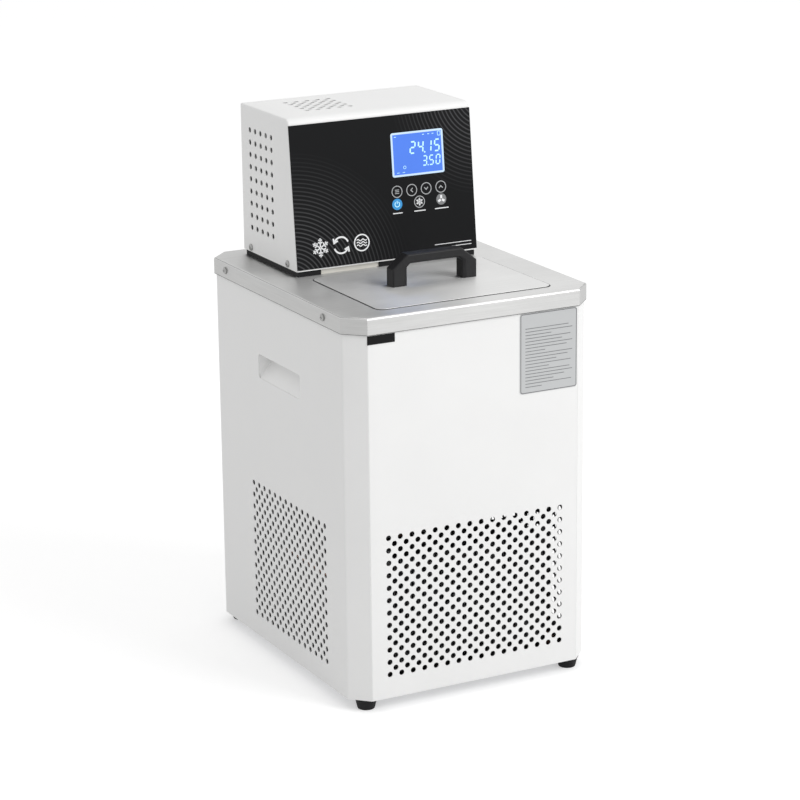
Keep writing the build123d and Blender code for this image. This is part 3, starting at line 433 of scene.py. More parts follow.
def brushed(name, colour, roughness, stretch, relief_mm, across=None):
    """Stainless sheet with a fine brushed grain: long streaks one way, hair-fine the other ways. Where
    across is given, reflections smear out along it, at right angles to the streaks."""
    material, tree, shader = set_shader(name, {"Metallic": 1.0})
    if across:
        shader.inputs["Anisotropic"].default_value = smear_strength
        smear = wired(tree, "CombineXYZ", dict(zip("XYZ", across)))
        tree.links.new(smear.outputs["Vector"], shader.inputs["Tangent"])
    place = wired(tree, "TexCoord").outputs["Object"]
    lines = wired(tree, "Group", {"Stretch": stretch, "Vector": place}, node_tree=brushed_group).outputs
    tree.links.new(two_tones(tree, lines["Streaks"], colour, streak_spread), shader.inputs["Base Color"])
    tree.links.new(ranged(tree, lines["Cloud"], roughness - steel_smoother, roughness + steel_rougher),
                   shader.inputs["Roughness"])
    bumped(tree, lines["Streaks"], shader, relief_mm * mm)
    return material


bath_steel = brushed("bath_steel", (0.50, 0.50, 0.50), 0.30, (400.0, 400.0, 14.0), 0.004)
tube_steel = brushed("tube_steel", (0.55, 0.55, 0.55), 0.22, (300.0, 300.0, 300.0), 0.003)
foam = grained("jacket_foam", (0.05, 0.05, 0.055), 0.85, 2.5, 0.15, spread=0.12)
dress(foam, "tank_foam")
dress(bath_steel, "tank")
dress(tube_steel, "temperature_probe", "pump_column", "pump_shaft", "drain_pipe")
dress(black_moulding, "impeller")


def span(node):
    """Lowest and highest corner of a node as arrays."""
    low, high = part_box(node)
    return np.array(low), np.array(high)


coil_low, coil_high = span("cooling_coil")
coil_x1, coil_y0 = coil_high[0] - coil_r, coil_low[1] + coil_r
coil_y2 = coil_high[1] - coil_r
coil_y1, coil_z = coil_y2 - coil_lead, coil_low[2] + coil_r
coil_corners = [(coil_x1, coil_y0), (-coil_x1, coil_y0), (-coil_x1, coil_y1), (coil_x1, coil_y1)]
coil_route = [(coil_x1 - coil_lead_gap, coil_y2, coil_high[2]), (coil_x1 - coil_lead_gap, coil_y2, coil_z),
              (coil_x1, coil_y2, coil_z)]
for step in range(4 * coil_turns):
    coil_route.append((*coil_corners[step % 4], coil_z + (step + 1) * coil_pitch / 4))
coil_top = coil_z + (4 * coil_turns + 1) * coil_pitch / 4
coil_route += [(coil_x1, coil_y2, coil_top), (coil_x1, coil_y2, coil_high[2])]
seated(piping("coil", coil_route, coil_r), tube_steel, "chassis", "bath_steel", "cooling_coil")

heater_low, heater_high = span("heater")
hx0, hx1 = heater_low[0] + heater_r, heater_high[0] - heater_r
hy0, hy1, hz = heater_low[1] + heater_r, heater_high[1] - heater_r, heater_low[2] + heater_r
heater_route = [(hx0, hy1, heater_high[2]), (hx0, hy1, hz), (hx0, hy0, hz), (hx1, hy0, hz), (hx1, hy1, hz),
                (hx1, hy1, heater_high[2])]
seated(piping("heating_loop", heater_route, heater_r), tube_steel, "chassis", "bath_steel", "heater")
dress(tube_steel, "delivery_pipe", "return_pipe")


# The cabinet's painted sheets: a flat front, and two side sheets that wrap the chamfered corners. Each is
# laser-cut with a staggered field of round vents, folded, and powder-coated white.
sheet_t, seam_gap, fold_r, same_line = 1.0 * mm, 0.3 * mm, 2.2 * mm, 0.05 * mm
vent_r, vent_sides = 3.15 * mm, 16


def ring_of_cells(half_u, half_v):
    """Steps round the edge of a block of grid cells, from the middle of its right side, in order."""
    right = [(half_u, j) for j in range(0, half_v)]
    top = [(i, half_v) for i in range(half_u, -half_u, -1)]
    left = [(-half_u, j) for j in range(half_v, -half_v, -1)]
    low = [(i, -half_v) for i in range(-half_u, half_u)]
    return np.array(right + top + left + low + [(half_u, j) for j in range(-half_v, 0)])


def spokes(turn):
    """Unit directions at these angles: (cos t, sin t)."""
    return np.stack([np.cos(turn), np.sin(turn)], axis=-1)


def nearest(lines, value):
    """Number of the grid line nearest to a value."""
    return int(np.argmin(abs(lines - value)))


def pierced(u, v, holes, place, warp=None, gap=None):
    """Points and quads of a sheet over grid lines u and v, put in place by place(u, v). Round each hole
    (centre u, centre v, half_u, half_v) a block of cells gives way to a ring of quads between the block's
    edge and a circle of radius vent_r. gap is a block of cells (u0, u1, v0, v1) that is left out."""
    kept = np.ones((len(u) - 1, len(v) - 1), dtype=bool)
    if gap:
        u0, u1, v0, v1 = (nearest(lines, value) for lines, value in zip((u, u, v, v), gap))
        kept[u0:u1, v0:v1] = False
    uu, vv = np.meshgrid(u, v, indexing="ij")
    if warp:
        uu, vv = warp(uu, vv)
    flat = [np.stack([uu.ravel(), vv.ravel()], axis=-1)]
    quads = []
    total = len(flat[0])
    for centre_u, centre_v, half_u, half_v in holes:
        i, j = nearest(u, centre_u), nearest(v, centre_v)
        kept[i - half_u:i + half_u, j - half_v:j + half_v] = False
        edge = ring_of_cells(half_u, half_v)
        outer = (i + edge[:, 0]) * len(v) + j + edge[:, 1]
        flat.append(np.array([u[i], v[j]]) + vent_r * spokes(2 * pi * np.arange(vent_sides) / vent_sides))
        inner = total + np.arange(vent_sides)
        quads.append(np.stack([outer, np.roll(outer, -1), np.roll(inner, -1), inner], axis=-1))
        total += vent_sides
    cells = grid_faces(len(u), len(v))[kept.ravel()]
    flat = np.vstack(flat)
    quads = np.vstack([cells] + quads)
    used, quads = np.unique(quads, return_inverse=True)
    return place(flat[used, 0], flat[used, 1]), quads.reshape(-1, 4)


def field_lines(centre, size, count, parts):
    """Grid lines of a field of holes along one way, each hole's cell split into equal parts."""
    step = size / (count - 1)
    cells = (count - 1) * parts + parts
    return centre - size / 2 - step / 2 + step / parts * np.arange(cells + 1)


def stagger(centre_u, size_u, count_u, centre_v, size_v, count_v):
    """Holes of two grids, the second between the holes of the first, in tall cells."""
    step_u, step_v = size_u / (count_u - 1), size_v / (count_v - 1)
    return [(centre_u - size_u / 2 + (i + shift) * step_u, centre_v - size_v / 2 + (j + shift) * step_v, 1, 3)
            for shift, less in ((0, 0), (0.5, 1))
            for i in range(count_u - less) for j in range(count_v - less)]


def all_lines(*groups):
    """The lines of several groups in order, with any that nearly coincide taken once."""
    lines = np.sort(np.concatenate([np.ravel(group) for group in groups]))
    return lines[np.insert(np.diff(lines) > same_line, 0, True)]


def finished(piece):
    """Takes a piece's mesh with its modifiers worked out, and drops the modifiers."""
    solid = bpy.data.meshes.new_from_object(piece.evaluated_get(bpy.context.evaluated_depsgraph_get()))
    piece.modifiers.clear()
    piece.data = solid
    return piece


def walled(name, points, quads, thickness):
    """A sheet given its thickness behind its outer face, taken as a finished mesh. Its inner face takes
    the piece's second material, the near-black painted shade."""
    mesh = bpy.data.meshes.new(name)
    mesh.from_pydata(points.tolist(), [], quads.tolist())
    mesh.update()
    holder = link_object(name, mesh)
    wall = holder.modifiers.new("wall", "SOLIDIFY")
    wall.thickness = thickness
    wall.offset = -1.0
    wall.use_even_offset = True
    wall.material_offset = 1
    mesh.materials.append(white_paint)
    mesh.materials.append(inner_face_shade)
    finished(holder).data.shade_smooth()
    holder.data.set_sharp_from_angle(angle=crisp_angle)
    return holder


def along(route):
    """Lengths along a route in a plane, and a function that gives its points at any lengths."""
    lengths = np.concatenate([[0.0], np.cumsum(np.linalg.norm(np.diff(route, axis=0), axis=1))])
    return lengths, lambda s: (np.interp(s, lengths, route[:, 0]), np.interp(s, lengths, route[:, 1]))


panel_low, panel_high = span("right_side_panel")
seam_x, side_x = panel_low[0] - seam_gap, panel_high[0]
front_y, rear_y = panel_low[1] - seam_gap, panel_high[1] + seam_gap
low_z, top_z = panel_low[2], panel_high[2]
leg = side_x - seam_x

front_return, front_fold_r = 9.0 * mm, 1.2 * mm
front_route = eased([(-seam_x, front_y + front_return), (-seam_x, front_y), (seam_x, front_y),
                     (seam_x, front_y + front_return)], front_fold_r)
front_s, front_at = along(front_route)
front_mid = front_s[-1] / 2
vent_x, vent_w, vent_columns = 0.25 * mm, 212.2 * mm, 16
vent_z, vent_h, vent_rows = 117.4 * mm, 155.0 * mm, 12
front_u = all_lines(front_s, field_lines(front_mid + vent_x, vent_w, vent_columns, 4))
front_v = all_lines([low_z, top_z], field_lines(vent_z, vent_h, vent_rows, 6))


def on_front(s, z):
    """Points on the front sheet at these lengths across it and these heights."""
    x, y = front_at(s)
    return np.stack([x, y, z], axis=-1)


front_holes = stagger(front_mid + vent_x, vent_w, vent_columns, vent_z, vent_h, vent_rows)
front_sheet = walled("front_sheet", *pierced(front_u, front_v, front_holes, on_front), sheet_t)
seated(front_sheet, white_paint, "chassis", "white_paint", "front_panel")

cup_low, cup_high = span("right_grip_cup")
grip_flange, grip_slip, grip_corner, grip_close = 6.0 * mm, 0.3 * mm, 4.0 * mm, 0.03 * mm
grip_y0, grip_y1 = cup_low[1] + grip_flange - grip_slip, cup_high[1] - grip_flange + grip_slip
grip_z0, grip_z1 = cup_low[2] + grip_flange - grip_slip, cup_high[2] - grip_flange + grip_slip
side_vent_y, side_vent_d, side_columns = -27.6 * mm, 179.0 * mm, 14
side_vent_z, side_vent_h, side_rows = 118.0 * mm, 155.5 * mm, 12
side_route = eased([(seam_x + seam_gap, front_y + seam_gap), (side_x, front_y + leg), (side_x, rear_y - leg),
                    (seam_x + seam_gap, rear_y - seam_gap)], fold_r)
side_s, side_at = along(side_route)
first_flat = np.argmax(side_route[:, 0] > side_x - 0.001 * mm)
flat_s, flat_y = side_s[first_flat], side_route[first_flat, 1]


def s_of(y):
    """Length along the side sheet's route at a place on its flat side."""
    return flat_s + y - flat_y


corner_steps = np.array([0.0, 0.5, 1.0]) * grip_corner
side_u = all_lines(side_s, field_lines(s_of(side_vent_y), side_vent_d, side_columns, 4))
side_v = all_lines([low_z, top_z], field_lines(side_vent_z, side_vent_h, side_rows, 6),
                   grip_z0 + corner_steps, grip_z1 - corner_steps)
vent_top = side_vent_z + side_vent_h * (side_rows / (side_rows - 1)) / 2
lean_before, lean_after = 8, 4
first_line, last_line = (nearest(side_u, s_of(y)) for y in (grip_y0, grip_y1))
held_lines = [first_line - lean_before, first_line, first_line + 1, first_line + 2, last_line - 2,
              last_line - 1, last_line, last_line + lean_after]
held_places = [side_u[held_lines[0]], *(s_of(grip_y0) + corner_steps),
               *(s_of(grip_y1) - corner_steps[::-1]), side_u[held_lines[-1]]]


def round_the_grip(u, v):
    """Above the vents the upright lines lean over to the grip's hole, evenly between the lines that are
    held there. Then the points beside each corner of the hole move on to a quarter circle: a point that
    lies a share d of the radius from the corner goes to the angle (1 - d) * 45 degrees."""
    leant = np.where(v > vent_top + mm, np.interp(u, side_u[held_lines], held_places), u)
    inside = (u > side_u[held_lines[0]]) & (u < side_u[held_lines[-1]])
    u, v = np.where(inside, leant, u), v.copy()
    for corner_u, way_u in ((s_of(grip_y0), 1), (s_of(grip_y1), -1)):
        for corner_v, way_v in ((grip_z0, 1), (grip_z1, -1)):
            du, dv = way_u * (u - corner_u), way_v * (v - corner_v)
            on_u = (abs(du) < grip_close) & (dv > -grip_close) & (dv < grip_corner + grip_close)
            on_v = (abs(dv) < grip_close) & (du > grip_close) & (du < grip_corner + grip_close)
            for line, run in ((on_u, dv), (on_v, du)):
                angle = (1 - np.clip(run[line], 0, grip_corner) / grip_corner) * pi / 4
                near = grip_corner * (1 - np.cos(angle))
                far = grip_corner * (1 - np.sin(angle))
                first, second = (near, far) if line is on_u else (far, near)
                u[line] = corner_u + way_u * first
                v[line] = corner_v + way_v * second
    return u, v


side_holes = stagger(s_of(side_vent_y), side_vent_d, side_columns, side_vent_z, side_vent_h, side_rows)
grip_block = (side_u[first_line], side_u[last_line], grip_z0, grip_z1)
for side, name in ((-1, "left"), (1, "right")):
    def on_side(s, z, way=side):
        """Points on a side sheet at these lengths round it and these heights."""
        x, y = side_at(s)
        return np.stack([way * x, y, z], axis=-1)

    points, quads = pierced(side_u, side_v, side_holes, on_side, round_the_grip, grip_block)
    side_sheet = walled(f"{name}_sheet", points, quads if side > 0 else quads[:, ::-1], sheet_t)
    seated(side_sheet, white_paint, "chassis", "white_paint", f"{name}_side_panel")
dress(white_paint, "rear_panel")


# The grips: one-piece white mouldings let into the side sheets from inside, deep under their upper edge,
# where the fingers take hold, and running out towards the lower one.
grip_soft, flat_angle = 0.5 * mm, radians(1.0)


def points_of(mesh):
    """A mesh's points as rows of x, y and z."""
    points = np.empty(len(mesh.vertices) * 3)
    mesh.vertices.foreach_get("co", points)
    return points.reshape(-1, 3)


def softened(node, name, width, segments=2, angle=radians(28), shape=None):
    """A copy of a CAD node with its loose triangles merged into faces and its edges rounded off. Large
    faces stay flat to the eye, since they count most in the normals. shape moves the points first."""
    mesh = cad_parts[node].data.copy()
    work = bmesh.new()
    work.from_mesh(mesh)
    bmesh.ops.remove_doubles(work, verts=work.verts, dist=weld_gap)
    bmesh.ops.dissolve_limit(work, angle_limit=flat_angle, verts=work.verts, edges=work.edges)
    work.to_mesh(mesh)
    work.free()
    if shape:
        mesh.vertices.foreach_set("co", shape(points_of(mesh)).ravel())
    mesh.materials.clear()
    mesh.shade_smooth()
    mesh.set_sharp_from_angle(angle=crisp_angle)
    holder = link_object(name, mesh)
    bevel = holder.modifiers.new("soft_edge", "BEVEL")
    bevel.width = width
    bevel.segments = segments
    bevel.limit_method = "ANGLE"
    bevel.angle_limit = angle
    weighted = holder.modifiers.new("flat_faces", "WEIGHTED_NORMAL")
    weighted.weight = 100
    weighted.keep_sharp = True
    return finished(holder)


# The grips' moulding is a little lighter than the paint: painted light, for light that bounces inside the
# cups.
white_moulding_painted_bounce = grained("white_moulding_painted_bounce", (0.90, 0.90, 0.895), 0.38, 0.7, 0.01, spread=0.02)
for name in ("left", "right"):
    seated(softened(f"{name}_grip_cup", f"{name}_scoop", grip_soft), white_moulding_painted_bounce, "chassis",
           "white_plastic", f"{name}_grip_cup")


# The deck: one stainless sheet folded down all round. Its side folds wrap the chamfered corners and end
# in a seam at the front fold, and a dark joint runs along the top of each chamfer. The brushing runs
# across the top. The folds, which catch less light, take a darker copy of the steel as painted shade, and
# a dark line along their lower edge is a painted shadow of the gap beneath them.
deck_bend, fold_angle, upright = 0.35 * mm, radians(50), 0.3
deck_steel = brushed("deck_steel", (0.61, 0.61, 0.605), 0.375, (9.0, 900.0, 300.0), 0.006, across=(0, 1, 0.2))
# A darker copy of the deck's steel for the folds: painted shade, since they catch less light.
fold_shade_steel = brushed("fold_shade_steel", (0.49, 0.49, 0.485), 0.34, (20.0, 20.0, 700.0), 0.006, across=(0, 0, 1))
# Dark for the seams, which are joints in the sheet, and for the hem line, which is painted shadow.
joint_and_hem_shade = grained("joints_and_hem_shadow", (0.07, 0.07, 0.07), 0.6, 0.8, 0.01)
deck = softened("deck", "deck_tray", deck_bend, angle=fold_angle)
deck.data.materials.append(deck_steel)
deck.data.materials.append(fold_shade_steel)
# Faces that stand upright take the darker fold steel, which is painted shade.
normals = np.empty(len(deck.data.polygons) * 3)
deck.data.polygons.foreach_get("normal", normals)
shaded_fold_faces = abs(normals.reshape(-1, 3)[:, 2]) < upright
deck.data.polygons.foreach_set("material_index", shaded_fold_faces.astype(np.int32))
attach(deck, "chassis")
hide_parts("deck")

deck_low, deck_high = span("deck")
deck_leg, deck_fold, seam_w, seam_sunk, print_t = 21.2 * mm, 2.5 * mm, 0.5 * mm, 0.05 * mm, 0.06 * mm
flange_face = deck_high[2] - deck_low[2] - deck_fold


def deck_outline(inset):
    """Plan of the deck's outer edge from the left rear chamfer round the front to the right one."""
    x, front, rear = deck_high[0] - inset, deck_low[1] + inset, deck_high[1] - deck_leg
    cut = deck_leg - inset * (2 - 2 ** 0.5)
    return np.array([(-x, rear), (-x, front + cut), (-x + cut, front), (x - cut, front), (x, front + cut),
                     (x, rear)])


deck_s = along(deck_outline(0.0))[0]


def on_flange(s, v, lift):
    """Points on the deck's fold: s along the outline, v up from the fold's lower tangent, where the
    surface turns in along a quarter circle: outwards r cos(v/r), upwards r sin(v/r)."""
    turn = np.clip(v / deck_fold, 0, pi / 2)
    outwards = (deck_fold + lift) * np.cos(turn) / deck_fold
    outer, inner = deck_outline(0.0), deck_outline(deck_fold)
    plan = [np.interp(s, deck_s, inner[:, k]) + outwards * np.interp(s, deck_s, outer[:, k] - inner[:, k])
            for k in (0, 1)]
    return np.stack([*plan, deck_high[2] - deck_fold + (deck_fold + lift) * np.sin(turn) + np.minimum(v, 0)],
                    axis=-1)


mid_fold, hem_shadow_v = deck_fold * pi / 4, -flange_face + 0.6 * seam_w
seams_and_hem_shadow = [([(s, mid_fold) for s in run], width * seam_w, False) for run, width in (
    (deck_s[:2], 0.7), (deck_s[1:3], 1.4), (deck_s[3:5], 1.4), (deck_s[4:], 0.7))]
seams_and_hem_shadow += [([(s, v) for v in (-flange_face, 0.0, mid_fold, 2 * mid_fold)], seam_w, False) for s in deck_s[2:4]]
# The ribbon along the folds' lower edge is painted shadow: the dark gap under the deck's fold.
seams_and_hem_shadow.append(([(s, hem_shadow_v) for s in deck_s], seam_w, False))


def ribbon(points, width, closed=False):
    """Two rails at half the width on each side of a flat line of points, mitred at its corners."""
    points = np.array(points, dtype=float)
    ahead = np.roll(points, -1, axis=0) - points
    behind = points - np.roll(points, 1, axis=0)
    if not closed:
        ahead[-1], behind[0] = behind[-1], ahead[0]
    ahead /= np.linalg.norm(ahead, axis=1)[:, None]
    behind /= np.linalg.norm(behind, axis=1)[:, None]
    across = np.stack([-ahead[:, 1] - behind[:, 1], ahead[:, 0] + behind[:, 0]], axis=-1)
    across /= (1 + np.sum(ahead * behind, axis=1))[:, None]
    return points + across * width / 2, points - across * width / 2


def printed(name, ribbons, place, lift, thickness=print_t):
    """A mesh of flat ribbons (points, width, closed) as thin raised print, put in place by
    place(x, v, lift): each has four rails, two above and two below."""
    parts = []
    for points, width, closed in ribbons:
        left, right = ribbon(points, width, closed)
        rails = [place(*left.T, lift), place(*left.T, lift + thickness),
                 place(*right.T, lift + thickness), place(*right.T, lift)]
        rails = np.stack(rails, axis=1)
        quads = grid_faces(len(points), 4, close_rows=closed, close_columns=True)
        if not closed:
            last = 4 * (len(points) - 1)
            quads = np.vstack([quads, [[0, 1, 2, 3]], [[last + 3, last + 2, last + 1, last]]])
        parts.append((rails.reshape(-1, 3), quads))
    return piece_of(name, parts)


seated(printed("deck_seams_and_hem_shadow", seams_and_hem_shadow, on_flange, -seam_sunk), joint_and_hem_shade, "chassis", "seal_grey")


# Small pan-head screws of nickelled steel with a cross recess. They go in sideways, through the deck's
# folds and through the foot of the head's cover.
screw_r, screw_h, screw_fall = 4.0 * mm, 2.2 * mm, 0.55
recess_arm, recess_w, recess_depth, recess_slope = 2.1 * mm, 0.55 * mm, 1.1 * mm, 0.4 * mm


def pan_head(centre, axis, rings=22, sides=64):
    """A pan-head screw over a polar grid: its height falls with the fourth power of the radius, and a
    cross sinks in smoothly where the distance to either arm is less than half the arm's width."""
    radius = np.linspace(0, 1, rings)[:, None] * screw_r
    turn = np.linspace(0, 2 * pi, sides, endpoint=False)[None, :]
    x, y = radius * np.cos(turn), radius * np.sin(turn)
    height = screw_h * (1 - screw_fall * (radius / screw_r) ** 4) + 0 * x
    from_arm = np.minimum(np.maximum(abs(x) - recess_arm, abs(y) - recess_w),
                          np.maximum(abs(y) - recess_arm, abs(x) - recess_w))
    height = height - recess_depth * np.clip(0.5 - from_arm / recess_slope, 0, 1)
    axis = np.array(axis, dtype=float)
    side, other = square_to(axis)
    disc = x[..., None] * side + y[..., None] * other
    top = np.array(centre) + disc + height[..., None] * axis
    skirt = (np.array(centre) + disc[-1])[None]
    return np.vstack([top, skirt]).reshape(-1, 3), grid_faces(rings + 1, sides, close_columns=True)


def screw_places(node, half):
    """Centres of a row of screws at both ends of a node's box, on both of its sides."""
    low, high = span(node)
    middle = (low[2] + high[2]) / 2
    return [((x, y, middle), (way, 0, 0)) for x, way in ((low[0] + screw_h, -1), (high[0] - screw_h, 1))
            for y in (low[1] + half, high[1] - half)]


nickel = brushed("nickel", (0.36, 0.36, 0.355), 0.26, (500.0, 500.0, 500.0), 0.002)
for node in ("flange_screws", "cover_screws"):
    heads = [pan_head(centre, axis) for centre, axis in screw_places(node, screw_r)]
    seated(piece_of(f"{node}_heads", heads), nickel, "chassis", "screw_steel", node)


# The lid: a stainless pan that sits in the deck's opening on a soft ring under its rim. The dark line
# round it is painted shadow: a dark ring set in the gap. It lifts straight off by its black bridge handle,
# which two screws hold from below.
lid_proud, lid_bend, lid_rim = 0.8 * mm, 0.3 * mm, 3.0 * mm
gap_shade_offset, gap_shade_w, gap_shade_rise, gap_shade_sunk, gap_shade_corner = 0.35 * mm, 0.6 * mm, 0.55 * mm, 0.4 * mm, 9.3 * mm
post_w, post_extra, handle_depth, handle_soft = 14.0 * mm, 3.4 * mm, 16.4 * mm, 0.7 * mm
lid_steel = brushed("lid_steel", (0.63, 0.63, 0.625), 0.40, (9.0, 1000.0, 300.0), 0.006, across=(0, 1, 0.2))
seal_rubber_and_gap_shade = grained("seal_rubber_and_gap_shade", (0.06, 0.06, 0.062), 0.6, 0.6, 0.02)
lid_low, lid_high = span("lid")


def rounded_outline(centre, size, radius, steps=6):
    """Points round a rectangle with round corners, anticlockwise."""
    centre, half = np.array(centre), np.array(size) / 2 - radius
    turn = np.linspace(0, pi / 2, steps)
    arcs = [centre + half * np.array(way) + radius * spokes(turn + start)
            for way, start in (((1, 1), 0), ((-1, 1), pi / 2), ((-1, -1), pi), ((1, -1), 1.5 * pi))]
    return np.vstack(arcs)


def on_lid(x, y, lift):
    """Points over the lid's place, lift above the deck."""
    return np.stack([x, y, np.full_like(x, lid_high[2]) + lift], axis=-1)


def proud(points):
    """Lifts the lid's top a hair above the deck, so that the painted shade ring round it shows on the near
    sides alone.
    """
    top = points[:, 2] > lid_high[2] - lid_rim
    return points + np.outer(top, (0.0, 0.0, lid_proud))


lid_pan = softened("lid", "lid_pan", lid_bend, segments=3, angle=fold_angle, shape=proud)
seated(lid_pan, lid_steel, "lid", "brushed_steel", "lid")
# A dark ring in the gap round the lid, which is painted shadow of that gap, not a part.
gap_shade_ring = rounded_outline((lid_low + lid_high)[:2] / 2, (lid_high - lid_low)[:2] + 2 * gap_shade_offset, gap_shade_corner, 8)
seated(printed("lid_gap_shade", [(gap_shade_ring, gap_shade_w, True)], on_lid, -gap_shade_sunk, gap_shade_rise + gap_shade_sunk), seal_rubber_and_gap_shade, "lid",
       "seal_grey")
handle_low, handle_high = span("lid_handle")
handle_mid = (handle_low + handle_high) / 2


def stout(points):
    """Moves the handle's inner faces inwards and spreads its two sides, for posts as stout as pictured."""
    x, y = points[:, 0] - handle_mid[0], points[:, 1] - handle_mid[1]
    inner = abs(x) < (handle_high[0] - handle_low[0]) / 2 - post_w + 0.1 * mm
    x = np.where(inner & (points[:, 2] > handle_low[2] - mm), x - np.sign(x) * post_extra, x)
    y = y * handle_depth / (handle_high[1] - handle_low[1])
    return np.stack([x + handle_mid[0], y + handle_mid[1], points[:, 2]], axis=-1)


seated(softened("lid_handle", "bridge_handle", handle_soft, segments=3, shape=stout), black_moulding,
       "lid", "black_plastic", "lid_handle")
dress(seal_rubber_and_gap_shade, "lid_seal")
dress(nickel, "handle_screws")


# The plates on the front, both thin and stuck on: a bare pale plate with an outline and plain ruled bars,
# and a small plain black one up under the deck.
outline_inset, outline_w, outline_r = 0.9 * mm, 0.7 * mm, 2.4 * mm
rule_left_in, rule_right_in, rule_top_in = 6.5 * mm, 6.0 * mm, 17.0 * mm
rule_step, rule_w = 3.6 * mm, 0.8 * mm
rule_shares = (0.92, 1.0, 0.55, 0.96, 0.78, 1.0, 0.88, 0.42, 1.0, 0.9, 0.66, 0.97, 0.5, 0.94, 1.0, 0.83, 0.6,
               0.98, 0.35)


def on_plate(x, v, lift):
    """Points on the plane of the front sheet: x across, v up, lift outwards."""
    return np.stack([x, np.full_like(x, front_y) - lift, v], axis=-1)


plate_low, plate_high = span("info_plate")
plate_mid = (plate_low + plate_high) / 2
plate_size = plate_high - plate_low
plate_film = grained("plate_film", (0.53, 0.54, 0.545), 0.40, 0.8, 0.006, spread=0.02)
plate_ink = grained("plate_ink", (0.12, 0.12, 0.125), 0.5, 0.5, 0.004)
pale_ink = grained("pale_ink", (0.20, 0.205, 0.21), 0.5, 0.5, 0.004)
black_film = grained("black_film", (0.007, 0.007, 0.0075), 0.40, 0.8, 0.006, gloss=0.12)
dress(plate_film, "info_plate")
dress(black_film, "badge_plate")
plate_outline = rounded_outline(plate_mid[[0, 2]], plate_size[[0, 2]] - 2 * outline_inset, outline_r)
rule_left, rule_run = plate_low[0] + rule_left_in, plate_size[0] - rule_left_in - rule_right_in
rules = []
for i, share in enumerate(rule_shares):
    rule_v = plate_high[2] - rule_top_in - i * rule_step
    rules.append(([(rule_left, rule_v), (rule_left + share * rule_run, rule_v)], rule_w, False))
seated(printed("plate_outline", [(plate_outline, outline_w, True)], on_plate, plate_size[1]), plate_ink,
       "chassis", "badge_black")
seated(printed("plate_rules", rules, on_plate, plate_size[1]), pale_ink, "chassis", "plate_grey")


# The head's cover: front, top and both sides in one folded sheet, white outside, with square rows of
# vents in its sides and a staggered field in its top. A plain plate closes it behind and another below.
head_low, head_high = span("head_cover")
head_w, head_front, head_rear = head_high[0] - head_low[0], head_low[1], head_high[1]
head_z0, head_z1 = head_low[2], head_high[2]
setback, bend_r, bend_steps, edge_r, edge_steps = 16.4 * mm, 7.0 * mm, 8, 1.8 * mm, 5
slope = np.arctan2(setback, head_z1 - bend_r - head_z0)
cover_t = 1.0 * mm
vent_step_y, vent_step_z = 55.0 / 4 * mm, 111.3 / 8 * mm
head_vent_y, head_vent_z = 98.0 * mm, 530.0 * mm
side_rows_z = head_vent_z + vent_step_z * (np.arange(9) - 4)
side_columns_y = head_vent_y + vent_step_y * (np.arange(5) - 2)
bend_y = head_front + (head_z1 - head_z0) * tan(slope) + bend_r * tan((pi / 2 - slope) / 2)
z_lines = all_lines([head_z0], head_vent_z + vent_step_z / 4 * (np.arange(37) - 18),
                    [head_z1 - bend_r * (1 - sin(slope))])
y_lines = all_lines(head_vent_y + vent_step_y / 4 * (np.arange(21) - 10), [head_rear])
front_points = np.stack([head_front + (z_lines - head_z0) * tan(slope), z_lines], axis=-1)
bend_angles = np.linspace(slope, pi / 2, bend_steps + 1)[1:]
bend_normals = np.stack([-np.cos(bend_angles), np.sin(bend_angles)], axis=-1)
bend_points = np.array([bend_y, head_z1 - bend_r]) + bend_r * bend_normals
top_points = np.stack([y_lines, np.full_like(y_lines, head_z1)], axis=-1)
profile = np.vstack([front_points, bend_points, top_points])
profile_normals = np.vstack([np.tile([-cos(slope), sin(slope)], (len(front_points), 1)), bend_normals,
                             np.tile([0.0, 1.0], (len(top_points), 1))])
profile_t = along(profile)[0]


def over_head(x, t):
    """Points of the cover's outer skin: x across, t the length along the side outline. Past the flat
    width the skin turns down a quarter circle of edge_r into the side."""
    flat_half = head_w / 2 - edge_r
    turn = np.clip((abs(x) - flat_half) / edge_r, 0, 1) * pi / 2
    across = np.sign(x) * (np.minimum(abs(x), flat_half) + edge_r * np.sin(turn))
    sunk = edge_r * (1 - np.cos(turn))
    y, z = (np.interp(t, profile_t, profile[:, k]) - sunk * np.interp(t, profile_t, profile_normals[:, k])
            for k in (0, 1))
    return np.stack([across, y, z], axis=-1)


top_vent_x, top_step_x = -43.0 * mm, 13.3 * mm
top_x_lines = top_vent_x + top_step_x / 6 * (np.arange(31) - 15)
edge_lines = head_w / 2 - edge_r * np.linspace(0, 1, edge_steps)
plain_lines = [0.0, 50.0 * mm]
cover_x = all_lines(top_x_lines, edge_lines, -edge_lines, plain_lines)
first_top = len(front_points) + len(bend_points)
top_holes = []
for row in range(9):
    t = profile_t[first_top + 1 + 2 * row]
    count = 5 if row % 2 == 0 else 4
    top_holes += [(top_vent_x + top_step_x * (k - (count - 1) / 2), t, 3, 1) for k in range(count)]
skin_points, skin_quads = pierced(cover_x, profile_t, top_holes, over_head)

flank = profile[:first_top] - edge_r * profile_normals[:first_top]
flank_y = np.concatenate([[head_front], y_lines])


def to_the_slope(y, z):
    """Moves the foremost column of a side on to the sloping front and its bend."""
    y = y.copy()
    y[0] = flank[:, 0]
    return y, z


flank_holes = [(y, z - edge_r * sin(slope), 2, 2) for y in side_columns_y for z in side_rows_z]
cover_parts = [(skin_points, skin_quads)]
for side in (-1, 1):
    def on_flank(y, z, way=side):
        """Points on one side of the cover."""
        return np.stack([np.full_like(y, way * head_w / 2), y, z], axis=-1)

    cover_parts.append(pierced(flank_y, flank[:, 1], flank_holes, on_flank, to_the_slope))


